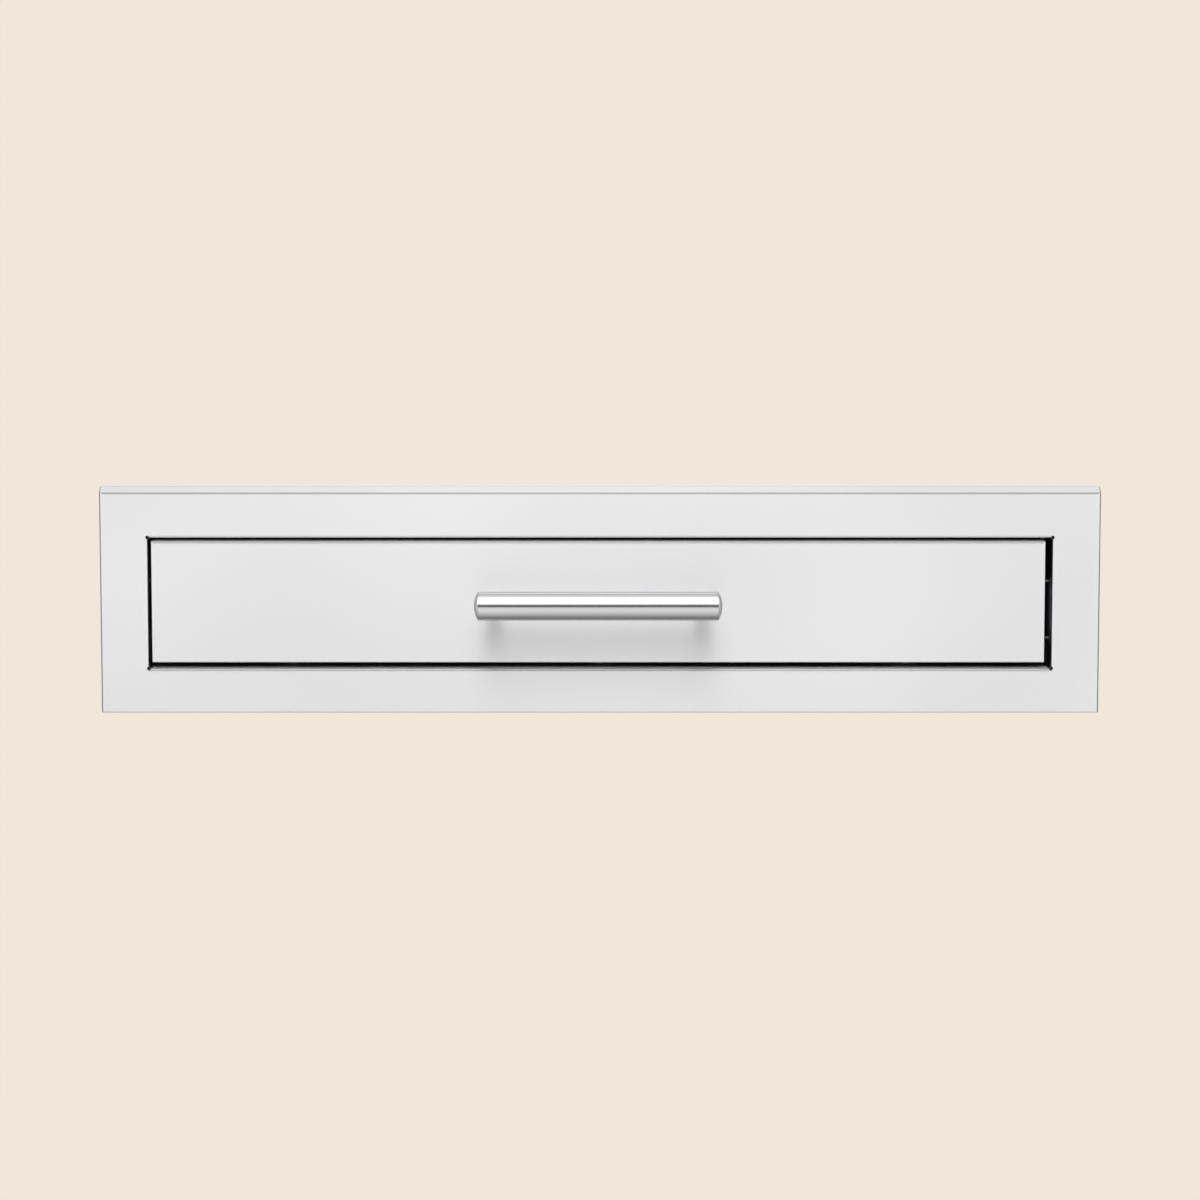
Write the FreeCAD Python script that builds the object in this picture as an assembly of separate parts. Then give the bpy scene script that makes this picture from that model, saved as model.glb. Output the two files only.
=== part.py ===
# Outdoor kitchen drawer unit: a stainless face frame with a sheet metal housing behind it,
# and one wide, shallow drawer on full extension ball bearing slides.
# Millimetres. X runs to the right, Y into the wall and Z up.
# The origin is the centre of the frame's opening, on the plane where the frame meets the wall.
import FreeCAD
import Part
import math
import os

Vector = FreeCAD.Vector

# Sheet thicknesses
frame_sheet = 1.2
housing_sheet = 1.0
skin_sheet = 1.2
liner_sheet = 0.8
tray_sheet = 1.0
fold_radius = 0.6
fold_clearance = fold_radius + 0.2

# Face frame
opening_width = 689.0
opening_height = 100.0
side_rail = 36.5
top_rail = 34.0
bottom_rail = 34.0
drip_rise = 5.0
drip_run = 6.0
drip_bend = 1.6
frame_depth = 15.0
frame_edge_radius = 2.4
frame_corner_radius = 2.6
opening_edge_radius = 1.8
relief_radius = 1.4
relief_depth = 3.0
wall_lip = 12.0
wall_lip_corner = 4.0

# Drawer front, set in the opening with the uneven gaps that the photographed one has
front_left_gap = 2.3
front_right_gap = 5.0
front_top_gap = 2.3
front_bottom_gap = 4.6
front_depth = 18.0
front_edge_radius = 2.2
front_corner_radius = 2.5
liner_flange = 10.0
liner_corner_radius = 2.4
jamb_overhang = 1.0

# Handle
handle_length = 185.0
handle_diameter = 21.3
handle_wall = 1.5
handle_standoff = 45.0
handle_post_inset = 12.5
handle_post_diameter = 12.0
handle_post_thread_depth = 12.0
handle_weld_gap = 0.02
cap_dome = 3.2
cap_edge = 0.5
cap_spigot = 8.0
cap_spigot_clearance = 0.1
backing_length = 200.0
backing_height = 34.0
backing_thickness = 2.0
spacer_radius = 5.0

# Housing
housing_lap = 9.0
housing_flange = 9.0
back_flange = 12.0
back_flange_gap = 2.0
rear_clearance = 10.0
mount_hole_radius = 2.6
mount_hole_front = 25.0
mount_hole_back_inset = 40.0
mount_hole_rise = 36.0
weep_hole_radius = 3.0
weep_hole_spacing = 240.0
weep_hole_inset = 40.0

# Slides
slide_length = 500.0
slide_height = 45.0
slide_depth = 12.7
slide_drop = 6.0
slide_sheet = 1.2
slide_setback = 1.0
slide_bend = 0.8
member_shortening = 10.0
outer_reach_gap = 1.5
middle_reach_gap = 1.7
web_gap = 0.3
ball_radius = 1.75
ball_clearance = 0.05
race_depth = 0.3
cage_sheet = 0.6
cage_ball_clearance = 0.12
cage_rim = 1.0
balls_per_row = 6
ball_pitch = 24.0
cage_end = 10.0
cage_margin = 15.0
cage_lip_gap = 0.3
stop_gap = 0.5
stop_side_gap = 1.0
stop_fit = 0.1
stop_nose = 3.0

# Release levers
lever_length = 60.0
lever_tail = 10.0
lever_height = 5.0
lever_tab_height = 8.5
lever_tab_length = 16.0
lever_edge = 1.2
lever_thickness = 3.4
lever_hub_radius = 4.2
lever_side_gap = 0.15
lever_pin_radius = 1.5
lever_pin_clearance = 0.05
lever_pin_head_radius = 3.0
lever_pin_head = 0.7
lever_exposed = 30.0

# Tray
tray_floor_gap = 6.0
tray_height = 76.0
tray_hem = 8.0
tray_hem_lip = 4.0
tray_end_flange = 12.0
tray_hem_notch = 1.0
tray_end_edge = 1.6
tray_end_corner = 2.4

# Blind rivets
rivet_radius = 1.6
rivet_hole_clearance = 0.05
rivet_head_radius = 3.2
rivet_head = 1.0
rivet_tail_radius = 2.2
rivet_tail = 2.0
rivet_edge = 4.5
side_rivet_count = 5
side_rivet_inset = 40.0
back_rivet_count = 4
back_rivet_inset = 60.0
tray_rivet_low = 8.0
tray_rivet_high = 8.0

# Screws and nuts
m4_radius = 2.0
m4_head_radius = 4.5
m4_truss_head = 1.1
m4_pan_head = 1.8
m4_socket = 2.5
m4_nut_flats = 7.0
m4_nut_height = 3.4
m4_nut_flange_radius = 4.6
m4_nut_flange = 0.9
m4_point = 1.2
m4_washer_radius = 6.0
m4_washer = 1.0
m5_radius = 2.5
m5_head_radius = 4.75
m5_head = 3.0
m5_socket = 3.0
m5_washer_radius = 5.5
m5_washer = 1.0
screw_clearance = 0.2
thread_clearance = 0.05
outer_screw_inset = 40.0
inner_screw_inset = 40.0
inner_screw_middle = 170.0
front_screw_spacing = 560.0
front_screw_rise = 24.0
front_screw_drop = 26.0
front_slot_travel = 3.0
clinch_nut_radius = 4.0
clinch_nut_height = 5.0

# Places that follow from the sizes above
half_open_x = opening_width / 2
half_open_z = opening_height / 2
frame_half_x = half_open_x + side_rail
frame_top = half_open_z + top_rail + drip_rise
frame_bottom = -half_open_z - bottom_rail
face_y = -frame_depth

front_left = -half_open_x + front_left_gap
front_right = half_open_x - front_right_gap
front_top = half_open_z - front_top_gap
front_bottom = -half_open_z + front_bottom_gap
front_back_y = face_y + front_depth
jamb_back = front_back_y + jamb_overhang

handle_x = (front_left + front_right) / 2
handle_z = (front_bottom + front_top) / 2
handle_y = face_y - handle_standoff
handle_radius = handle_diameter / 2
post_reach = handle_length / 2 - handle_post_inset
post_places = (handle_x - post_reach, handle_x + post_reach)

housing_half_x = half_open_x + frame_sheet
housing_half_z = half_open_z + frame_sheet
housing_front = jamb_back - housing_lap
slide_front = jamb_back + slide_setback
slide_back = slide_front + slide_length
housing_rear = slide_back + rear_clearance
side_outer_x = housing_half_x + housing_sheet
panel_outer_z = housing_half_z + housing_sheet

slide_z = -slide_drop
slide_travel = slide_length
tray_half_x = housing_half_x - slide_depth
tray_bottom = -half_open_z + tray_floor_gap
tray_top = tray_bottom + tray_height
tray_back_y = front_back_y + slide_length
tray_inner_x = tray_half_x - tray_sheet
tray_floor = tray_bottom + tray_sheet

# Slide cross section: u is the distance from the housing wall and v the height from the slide's middle
outer_half = slide_height / 2
ball_reach = ball_radius + ball_clearance
outer_race = outer_half - slide_sheet
outer_ball_v = outer_race + race_depth - ball_reach
middle_half = outer_ball_v - ball_reach + race_depth
middle_race = middle_half - slide_sheet
inner_ball_v = middle_race + race_depth - ball_reach
inner_half = inner_ball_v - ball_reach + race_depth
outer_cage_u = slide_sheet + m4_truss_head + web_gap
middle_u = outer_cage_u + cage_sheet + web_gap
inner_cage_u = middle_u + slide_sheet + web_gap
inner_edge_u = inner_cage_u + cage_sheet + web_gap
inner_web_u = slide_depth - slide_sheet
outer_reach = slide_depth - outer_reach_gap
middle_reach = slide_depth - middle_reach_gap
outer_ball_u = middle_u + slide_sheet + slide_bend + ball_radius
inner_ball_u = (inner_edge_u + inner_web_u) / 2


def block(x, y, z):
    """A box between two values on each axis."""
    low = Vector(x[0], y[0], z[0])
    return Part.makeBox(x[1] - x[0], y[1] - y[0], z[1] - z[0], low)


def on_xy(a, b):
    return Vector(a, b, 0)


def on_xz(a, b):
    return Vector(a, 0, b)


def on_yz(a, b):
    return Vector(0, a, b)


def rounded_corner(before, corner, after, radius):
    """Start, middle and end of the arc that rounds one corner of a flat outline."""
    if radius <= 0:
        return corner, None, corner
    to_before = Vector(before[0] - corner[0], before[1] - corner[1], 0).normalize()
    to_after = Vector(after[0] - corner[0], after[1] - corner[1], 0).normalize()
    half_angle = to_before.getAngle(to_after) / 2
    reach = radius / math.tan(half_angle)
    inward = (to_before + to_after).normalize()
    depth = radius / math.sin(half_angle) - radius
    start = (corner[0] + to_before.x * reach, corner[1] + to_before.y * reach)
    middle = (corner[0] + inward.x * depth, corner[1] + inward.y * depth)
    end = (corner[0] + to_after.x * reach, corner[1] + to_after.y * reach)
    return start, middle, end


def outline_face(place, points, radii):
    """A flat face through the points, each corner rounded to its own radius."""
    count = len(points)
    corners = []
    for i in range(count):
        after = points[(i + 1) % count]
        corners.append(rounded_corner(points[i - 1], points[i], after, radii[i]))
    edges = []
    for i in range(count):
        start, middle, end = corners[i]
        following = corners[(i + 1) % count][0]
        if middle is not None:
            edges.append(Part.Arc(place(*start), place(*middle), place(*end)).toShape())
        if math.dist(end, following) > 1e-6:
            edges.append(Part.makeLine(place(*end), place(*following)))
    return Part.Face(Part.Wire(edges))


def side_normal(start, end):
    """Unit vector to the left of a line that runs from start to end."""
    length = math.dist(start, end)
    return Vector((start[1] - end[1]) / length, (end[0] - start[0]) / length, 0)


def moved_left(points, distance, closed):
    """The points of a path, moved to its left by a distance and mitred at the corners."""
    count = len(points)
    moved = []
    for i in range(count):
        has_before = closed or i > 0
        has_after = closed or i < count - 1
        following = points[(i + 1) % count]
        first = side_normal(points[i - 1], points[i]) if has_before else side_normal(points[i], following)
        second = side_normal(points[i], following) if has_after else first
        mitre = (first + second) * (distance / (1 + first.dot(second)))
        moved.append((points[i][0] + mitre.x, points[i][1] + mitre.y))
    return moved


def folded_sheet(path, sheet, bend):
    """Outline points and radii of a folded sheet that lies to the left of its outer face.

    Every fold of the path turns left, so the outer face has the larger radius."""
    inner = moved_left(path, sheet, False)
    folds = len(path) - 2
    outer_radii = [0] + [bend + sheet] * folds + [0]
    inner_radii = [0] + [bend] * folds + [0]
    return path + inner[::-1], outer_radii + inner_radii


def soft_block(x, y, z, edge, corner):
    """A block with rounded corners along Y and rounded edges round its end at y[0]."""
    shape = block(x, sorted(y), z)
    if corner > 0:
        along_y = [e for e in shape.Edges if abs(e.tangentAt(e.FirstParameter).y) > 0.5]
        shape = shape.makeFillet(corner, along_y)
    if edge > 0:
        round_end = [e for e in shape.Edges if abs(e.CenterOfMass.y - y[0]) < 1e-6]
        shape = shape.makeFillet(edge, round_end)
    return shape


def pan(x, y, z, sheet, edge, corner):
    """A sheet folded back on all four sides: its flat is at y[0], and it is open at y[1]."""
    inward = math.copysign(sheet, y[1] - y[0])
    outer = soft_block(x, y, z, edge, corner)
    inner_x = (x[0] + sheet, x[1] - sheet)
    inner_y = (y[0] + inward, y[1] + inward)
    inner_z = (z[0] + sheet, z[1] - sheet)
    inner = soft_block(inner_x, inner_y, inner_z, max(edge - sheet, 0), max(corner - sheet, 0))
    return outer.cut(inner)


def aimed(shape, point, direction):
    """A shape made along +Z, turned to a direction and moved to a point."""
    copy = shape.copy()
    copy.Placement = FreeCAD.Placement(Vector(*point), FreeCAD.Rotation(Vector(0, 0, 1), direction))
    return copy


def rod(point, direction, radius, length):
    """A round bar or a drill that starts at a point."""
    return Part.makeCylinder(radius, length, Vector(*point), direction)


def turned(points, radii):
    """A turned piece: its half outline is given as radius and height, and it spins about Z."""
    half = outline_face(on_xz, points, radii)
    return half.revolve(Vector(0, 0, 0), Vector(0, 0, 1), 360)


def hexagon(flats, height):
    """A hexagonal bar along Z, measured across its flats."""
    reach = flats / 2 / math.cos(math.radians(30))
    corners = [Vector(reach * math.cos(math.radians(60 * i)), reach * math.sin(math.radians(60 * i)), 0)
               for i in range(6)]
    return Part.Face(Part.makePolygon(corners + corners[:1])).extrude(Vector(0, 0, height))


def socket_screw(radius, head_radius, head, socket, length, point):
    """A low round headed screw: the head stands above zero on Z and the shank hangs below it."""
    points = [(0, head), (head_radius, head), (head_radius, 0), (radius, 0),
              (radius, -length + point / 2), (radius - point / 2, -length), (0, -length)]
    screw = turned(points, [0, head * 0.8, 0, 0, 0, 0, 0])
    recess = hexagon(socket, head)
    recess.translate(Vector(0, 0, head * 0.4))
    return screw.cut(recess)


def washer(radius, hole, thickness):
    """A flat washer on Z."""
    ring = Part.makeCylinder(radius, thickness)
    return ring.cut(Part.makeCylinder(hole, thickness))


def flange_nut():
    """A hexagonal nut with a round flange under it, which rests on zero of Z."""
    body = hexagon(m4_nut_flats, m4_nut_height)
    crown_radius = m4_nut_flats / 2 / math.cos(math.radians(30))
    crown = turned([(0, 0), (crown_radius, 0), (crown_radius, m4_nut_height), (0, m4_nut_height)],
                   [0, 0, (crown_radius - m4_nut_flats / 2) * 1.6, 0])
    skirt = Part.makeCylinder(m4_nut_flange_radius, m4_nut_flange)
    hole = Part.makeCylinder(m4_radius + thread_clearance, m4_nut_height)
    return body.common(crown).fuse(skirt).cut(hole).removeSplitter()


def blind_rivet(grip):
    """A blind rivet: its dome stands above zero on Z, and it holds a grip of sheet below it."""
    end = -grip - rivet_tail
    points = [(0, rivet_head), (rivet_head_radius, rivet_head), (rivet_head_radius, 0),
              (rivet_radius, 0), (rivet_radius, -grip), (rivet_tail_radius, -grip),
              (rivet_tail_radius, end), (0, end)]
    return turned(points, [0, rivet_head * 0.8, 0, 0, 0, 0, rivet_tail * 0.4, 0])


def spread(first, last, count):
    """Evenly spaced places from the first to the last."""
    return [first + (last - first) * i / (count - 1) for i in range(count)]


def with_holes(shape, drills):
    """A shape with all the drills cut from it at once."""
    return shape.cut(Part.makeCompound(drills))


# Face frame: one folded and welded sheet, with a lip against the wall and a jamb round the opening
def frame_block(inset):
    """The frame's outer block, drawn in by an inset: its top edge slopes back to shed rain."""
    edge = frame_edge_radius
    side = [(face_y, frame_bottom), (0, frame_bottom), (0, frame_top),
            (face_y + drip_run, frame_top), (face_y, frame_top - drip_rise)]
    flat = [(-frame_half_x, face_y), (frame_half_x, face_y), (frame_half_x, 0), (-frame_half_x, 0)]
    square = [(-frame_half_x, frame_bottom), (frame_half_x, frame_bottom),
              (frame_half_x, frame_top), (-frame_half_x, frame_top)]
    bodies = []
    for place, points, radii, start, along in (
            (on_xy, flat, [edge] * 4, Vector(0, 0, frame_bottom), Vector(0, 0, frame_top - frame_bottom)),
            (on_xz, square, [frame_corner_radius] * 4, Vector(0, face_y, 0), Vector(0, frame_depth, 0)),
            (on_yz, side, [edge, edge, edge, drip_bend, drip_bend],
             Vector(-frame_half_x, 0, 0), Vector(2 * frame_half_x, 0, 0))):
        inner_radii = [max(r - inset, 0) for r in radii]
        face = outline_face(place, moved_left(points, inset, True), inner_radii)
        face.translate(start)
        bodies.append(face.extrude(along))
    return bodies[0].common(bodies[1]).common(bodies[2])


def opening_cutter():
    """The space of the opening, flared at the face so that it leaves rounded edges."""
    radius = opening_edge_radius
    over = 1.0
    front, back = face_y - over, jamb_back + over

    def flared(place, half, along):
        points = [(front, -half - radius), (face_y, -half - radius), (face_y, -half), (back, -half),
                  (back, half), (face_y, half), (face_y, half + radius), (front, half + radius)]
        return outline_face(place, points, [0, 0, radius, 0, 0, radius, 0, 0]).extrude(along)

    wide = half_open_x + radius
    tall = half_open_z + radius
    upright = flared(on_yz, half_open_z, Vector(2 * wide, 0, 0))
    upright.translate(Vector(-wide, 0, 0))
    level = flared(lambda y, x: Vector(x, y, 0), half_open_x, Vector(0, 0, 2 * tall))
    level.translate(Vector(0, 0, -tall))
    return upright.common(level)


def face_frame():
    lip_x = frame_half_x - wall_lip
    lip_z = (frame_bottom + wall_lip, frame_top - wall_lip)
    wall_gap = outline_face(
        on_xz, [(-lip_x, lip_z[0]), (lip_x, lip_z[0]), (lip_x, lip_z[1]), (-lip_x, lip_z[1])],
        [wall_lip_corner] * 4).extrude(Vector(0, 2 * frame_sheet, 0))
    wall_gap.translate(Vector(0, -frame_sheet * 1.5, 0))
    jamb = block((-housing_half_x, housing_half_x), (face_y, jamb_back), (-housing_half_z, housing_half_z))
    shape = frame_block(0).cut(frame_block(frame_sheet)).cut(wall_gap).fuse(jamb)
    shape = shape.cut(opening_cutter())
    reliefs = [rod((x, face_y, z), Vector(0, 1, 0), relief_radius, relief_depth)
               for x in (-half_open_x, half_open_x) for z in (-half_open_z, half_open_z)]
    return with_holes(shape, reliefs).removeSplitter()


# Housing: four panels and a back pan, held together with blind rivets
def flange_rivet_places():
    """Rivets through the top and bottom panels' side flanges and the side panels, as point and outward way."""
    last = housing_rear - back_flange - back_flange_gap - side_rivet_inset
    rise = panel_outer_z - rivet_edge
    return [((side * (side_outer_x + housing_sheet), y, z), Vector(side, 0, 0))
            for side in (-1, 1) for z in (-rise, rise)
            for y in spread(housing_front + side_rivet_inset, last, side_rivet_count)]


def back_rivet_places():
    """Rivets through the back pan's flanges, as point and outward way."""
    y = housing_rear - back_flange / 2
    edge = side_outer_x - back_rivet_inset
    places = [((x, y, way * (panel_outer_z + housing_sheet)), Vector(0, 0, way))
              for way in (-1, 1) for x in spread(-edge, edge, back_rivet_count)]
    return places + [((side * (side_outer_x + housing_sheet), y, 0), Vector(side, 0, 0))
                     for side in (-1, 1)]


def rivet_drills():
    radius = rivet_radius + rivet_hole_clearance
    reach = rivet_head + 2 * housing_sheet + rivet_tail
    return [rod(point, way * -1, radius, reach)
            for point, way in flange_rivet_places() + back_rivet_places()]


def outer_screw_places():
    return [slide_front + outer_screw_inset, (slide_front + slide_back) / 2, slide_back - outer_screw_inset]


def housing_side(side):
    """A flat side panel, with the holes that fasten the unit and its slide."""
    x = sorted((side * housing_half_x, side * side_outer_x))
    half = housing_half_z - fold_clearance
    panel = block(x, (housing_front, housing_rear - fold_clearance), (-half, half))
    start = side * (side_outer_x + 1)
    inward = Vector(-side, 0, 0)
    drills = [rod((start, y, slide_z), inward, m4_radius + screw_clearance, 2 + housing_sheet)
              for y in outer_screw_places()]
    drills += [rod((start, y, z), inward, mount_hole_radius, 2 + housing_sheet)
               for y in (mount_hole_front, housing_rear - mount_hole_back_inset)
               for z in (-mount_hole_rise, mount_hole_rise)]
    return with_holes(panel, drills + rivet_drills())


def housing_cover(way):
    """The top or bottom panel: a sheet with a narrow flange folded over each side panel."""
    outer_x = side_outer_x + housing_sheet
    edge = panel_outer_z - housing_flange
    path = [(outer_x, edge), (outer_x, panel_outer_z), (-outer_x, panel_outer_z), (-outer_x, edge)]
    points, radii = folded_sheet(path, housing_sheet, fold_radius)
    shape = outline_face(on_xz, points, radii)
    shape.translate(Vector(0, housing_front, 0))
    shape = shape.extrude(Vector(0, housing_rear - fold_clearance - housing_front, 0))
    notch_start = housing_rear - back_flange - back_flange_gap
    for side in (-1, 1):
        x = sorted((side * (side_outer_x - fold_clearance), side * (outer_x + 1)))
        shape = shape.cut(block(x, (notch_start, housing_rear + 1), (edge - 1, panel_outer_z + 1)))
    if way < 0:
        shape = shape.mirror(Vector(0, 0, 0), Vector(0, 0, 1))
    drills = rivet_drills()
    if way < 0:
        low = -panel_outer_z - 1
        drills += [rod((x, y, low), Vector(0, 0, 1), weep_hole_radius, 2 + housing_sheet)
                   for x in (-weep_hole_spacing, 0, weep_hole_spacing)
                   for y in (jamb_back + weep_hole_inset, housing_rear - weep_hole_inset)]
    return with_holes(shape, drills)


def housing_back():
    """The back pan, whose flanges lie over the ends of the other four panels."""
    outer_x = side_outer_x + housing_sheet
    outer_z = panel_outer_z + housing_sheet
    edge = fold_radius + housing_sheet
    y = (housing_rear + housing_sheet, housing_rear - back_flange)
    shape = pan((-outer_x, outer_x), y, (-outer_z, outer_z), housing_sheet, edge, edge)
    return with_holes(shape, rivet_drills())


def housing_rivets():
    rivet = blind_rivet(2 * housing_sheet)
    places = flange_rivet_places() + back_rivet_places()
    return Part.makeCompound([aimed(rivet, point, way) for point, way in places])


# Slides: three nested channels a side, with two cages of balls between them
def slide_place(side):
    """Turns a place in the slide's cross section into a point beside the left or right housing wall."""
    return lambda u, v: Vector(side * (housing_half_x - u), 0, slide_z + v)


def slide_channel(side, path, sheet, start, length):
    """One folded channel of the slide, run along Y."""
    points, radii = folded_sheet(path, sheet, slide_bend)
    face = outline_face(slide_place(side), points, radii)
    face.translate(Vector(0, start, 0))
    return face.extrude(Vector(0, length, 0))


def race(side, u, v):
    """The groove that one row of balls runs in, over and under the slide's middle line."""
    place = slide_place(side)
    start = slide_front - 1
    return [Part.makeCylinder(ball_reach, slide_length + 2, place(u, way * v) + Vector(0, start, 0),
                              Vector(0, 1, 0)) for way in (-1, 1)]


def slide_outer(side):
    """The channel that is screwed to the housing."""
    lip = outer_ball_v + cage_sheet / 2 + cage_lip_gap
    path = [(outer_reach, lip), (outer_reach, outer_half), (0, outer_half),
            (0, -outer_half), (outer_reach, -outer_half), (outer_reach, -lip)]
    shape = slide_channel(side, path, slide_sheet, slide_front, slide_length)
    drills = [rod((side * (housing_half_x + 1), y, slide_z), Vector(-side, 0, 0),
                  m4_radius + screw_clearance, 2 + slide_sheet) for y in outer_screw_places()]
    return with_holes(shape, drills + race(side, outer_ball_u, outer_ball_v))


def slide_middle(side):
    """The channel that floats between the other two and moves half as far as the drawer."""
    path = [(middle_reach, middle_half), (middle_u, middle_half),
            (middle_u, -middle_half), (middle_reach, -middle_half)]
    shape = slide_channel(side, path, slide_sheet, slide_front, slide_length - member_shortening)
    races = race(side, outer_ball_u, outer_ball_v) + race(side, inner_ball_u, inner_ball_v)
    return with_holes(shape, races)


def slide_inner(side):
    """The channel that is screwed to the tray and carries the release lever's pin."""
    path = [(inner_edge_u, -inner_half), (slide_depth, -inner_half),
            (slide_depth, inner_half), (inner_edge_u, inner_half)]
    shape = slide_channel(side, path, slide_sheet, slide_front, slide_length - member_shortening)
    x = side * (housing_half_x - slide_depth - 1)
    drills = [rod((x, y, slide_z), Vector(side, 0, 0), m4_radius + thread_clearance, 2 + slide_sheet)
              for y in inner_screw_places()]
    drills.append(rod((x, lever_pivot_y, slide_z), Vector(side, 0, 0), lever_pin_radius, 2 + slide_sheet))
    return with_holes(shape, drills + race(side, inner_ball_u, inner_ball_v))


def inner_screw_places():
    return [slide_front + inner_screw_inset, slide_front + inner_screw_middle,
            slide_back - member_shortening - inner_screw_inset]


def ball_places(side, u, v):
    """Centres of the balls of one cage, which stays between its two channels over the whole travel."""
    place = slide_place(side)
    first = slide_front + slide_travel / 4 + cage_margin + cage_end
    return [place(u, way * v) + Vector(0, first + ball_pitch * i, 0)
            for way in (-1, 1) for i in range(balls_per_row)]


def ball_cage(side, web_u, u, v):
    """A thin channel with a pocket for each ball."""
    half = v + cage_sheet / 2
    reach = u + ball_radius + cage_rim
    path = [(reach, half), (web_u, half), (web_u, -half), (reach, -half)]
    points, radii = folded_sheet(path, cage_sheet, cage_sheet / 2)
    start = slide_front + slide_travel / 4 + cage_margin
    length = ball_pitch * (balls_per_row - 1) + 2 * cage_end
    face = outline_face(slide_place(side), points, radii)
    face.translate(Vector(0, start, 0))
    pockets = [Part.makeSphere(ball_radius + cage_ball_clearance, centre)
               for centre in ball_places(side, u, v)]
    return with_holes(face.extrude(Vector(0, length, 0)), pockets)


def ball_set(side, u, v):
    return Part.makeCompound([Part.makeSphere(ball_radius, centre) for centre in ball_places(side, u, v)])


def slide_stop(side):
    """The plastic block at the back of the outer channel that the closed drawer rests against."""
    half = outer_race - stop_side_gap
    back = slide_back
    front = slide_back - member_shortening + stop_gap
    u = (slide_sheet + stop_fit, outer_reach - slide_sheet)
    points = [(u[0], front), (u[1], front), (u[1], back), (u[0], back)]
    face = outline_face(lambda a, b: Vector(side * (housing_half_x - a), b, 0), points, [0, stop_nose, 0, 0])
    face.translate(Vector(0, 0, slide_z - half))
    return face.extrude(Vector(0, 0, 2 * half))


def slide_screws():
    """The low headed screws that hold both outer channels to the housing."""
    length = slide_sheet + housing_sheet + m4_nut_height + m4_point
    screw = socket_screw(m4_radius, m4_head_radius, m4_truss_head, m4_socket, length, m4_point)
    return Part.makeCompound([
        aimed(screw, (side * (housing_half_x - slide_sheet), y, slide_z), Vector(-side, 0, 0))
        for side in (-1, 1) for y in outer_screw_places()])


def slide_nuts():
    return Part.makeCompound([
        aimed(flange_nut(), (side * side_outer_x, y, slide_z), Vector(side, 0, 0))
        for side in (-1, 1) for y in outer_screw_places()])


def inner_slide_screws():
    """The screws that hold both inner channels to the tray, with their heads in the tray."""
    length = tray_sheet + slide_sheet + m4_point
    screw = socket_screw(m4_radius, m4_head_radius, m4_pan_head, m4_socket, length, m4_point)
    return Part.makeCompound([aimed(screw, (side * tray_inner_x, y, slide_z), Vector(-side, 0, 0))
                              for side in (-1, 1) for y in inner_screw_places()])


# Release levers: a plastic lever in each inner channel, on a pin
lever_pivot_y = slide_front + slide_travel / 2 - lever_exposed + lever_length


def lever_u():
    """Where the lever lies in the slide's cross section."""
    back = inner_web_u - lever_side_gap
    return back - lever_thickness, back


def release_lever(side):
    """A bar with a hub on the pin and a thumb tab at its front end."""
    near, far = lever_u()
    front = lever_pivot_y - lever_length
    tab_back = front + lever_tab_length
    bar = block((near, far), (front + lever_edge, lever_pivot_y + lever_tail),
                (-lever_height / 2, lever_height / 2))
    half_tab = lever_tab_height / 2
    corners = [(front, -half_tab), (tab_back, -half_tab), (tab_back, half_tab), (front, half_tab)]
    tab = outline_face(on_yz, corners, [lever_edge] * 4).extrude(Vector(far - near, 0, 0))
    tab.translate(Vector(near, 0, 0))
    hub = rod((near, lever_pivot_y, 0), Vector(1, 0, 0), lever_hub_radius, far - near)
    shape = bar.fuse(tab).fuse(hub)
    hole = rod((near - 1, lever_pivot_y, 0), Vector(1, 0, 0), lever_pin_radius + lever_pin_clearance,
               far - near + 2)
    shape = shape.cut(hole).removeSplitter()
    if side > 0:
        shape = shape.mirror(Vector(0, 0, 0), Vector(1, 0, 0))
    shape.translate(Vector(side * housing_half_x, 0, slide_z))
    return shape


def lever_pins():
    """A headed pin a side, fixed in the inner channel's web."""
    near = lever_u()[0] - lever_side_gap
    grip = slide_depth - near
    points = [(0, lever_pin_head), (lever_pin_head_radius, lever_pin_head), (lever_pin_head_radius, 0),
              (lever_pin_radius, 0), (lever_pin_radius, -grip), (0, -grip)]
    pin = turned(points, [0, lever_pin_head * 0.8, 0, 0, 0, 0])
    return Part.makeCompound([
        aimed(pin, (side * (housing_half_x - near), lever_pivot_y, slide_z), Vector(side, 0, 0))
        for side in (-1, 1)])


# Drawer front: a pan for the skin, a liner pan inside it, and a plate behind the handle
def front_screw_places():
    half = front_screw_spacing / 2
    return [(x, z) for x in (-half, half) for z in (slide_z - front_screw_drop, slide_z + front_screw_rise)]


def drawer_front_skin():
    shape = pan((front_left, front_right), (face_y, front_back_y), (front_bottom, front_top),
                skin_sheet, front_edge_radius, front_corner_radius)
    drills = [rod((x, face_y - 1, handle_z), Vector(0, 1, 0), m5_radius + screw_clearance, 2 + skin_sheet)
              for x in post_places]
    return with_holes(shape, drills)


def drawer_front_liner():
    shape = pan((front_left + skin_sheet, front_right - skin_sheet),
                (front_back_y, front_back_y - liner_flange),
                (front_bottom + skin_sheet, front_top - skin_sheet),
                liner_sheet, fold_radius + liner_sheet, liner_corner_radius)
    start = front_back_y + 1
    drills = [rod((x, start, handle_z), Vector(0, -1, 0), m5_radius + screw_clearance, 2 + liner_sheet)
              for x in post_places]
    drills += [rod((x, start, z), Vector(0, -1, 0), m4_radius + screw_clearance, 2 + liner_sheet)
               for x, z in front_screw_places()]
    return with_holes(shape, drills)


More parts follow.
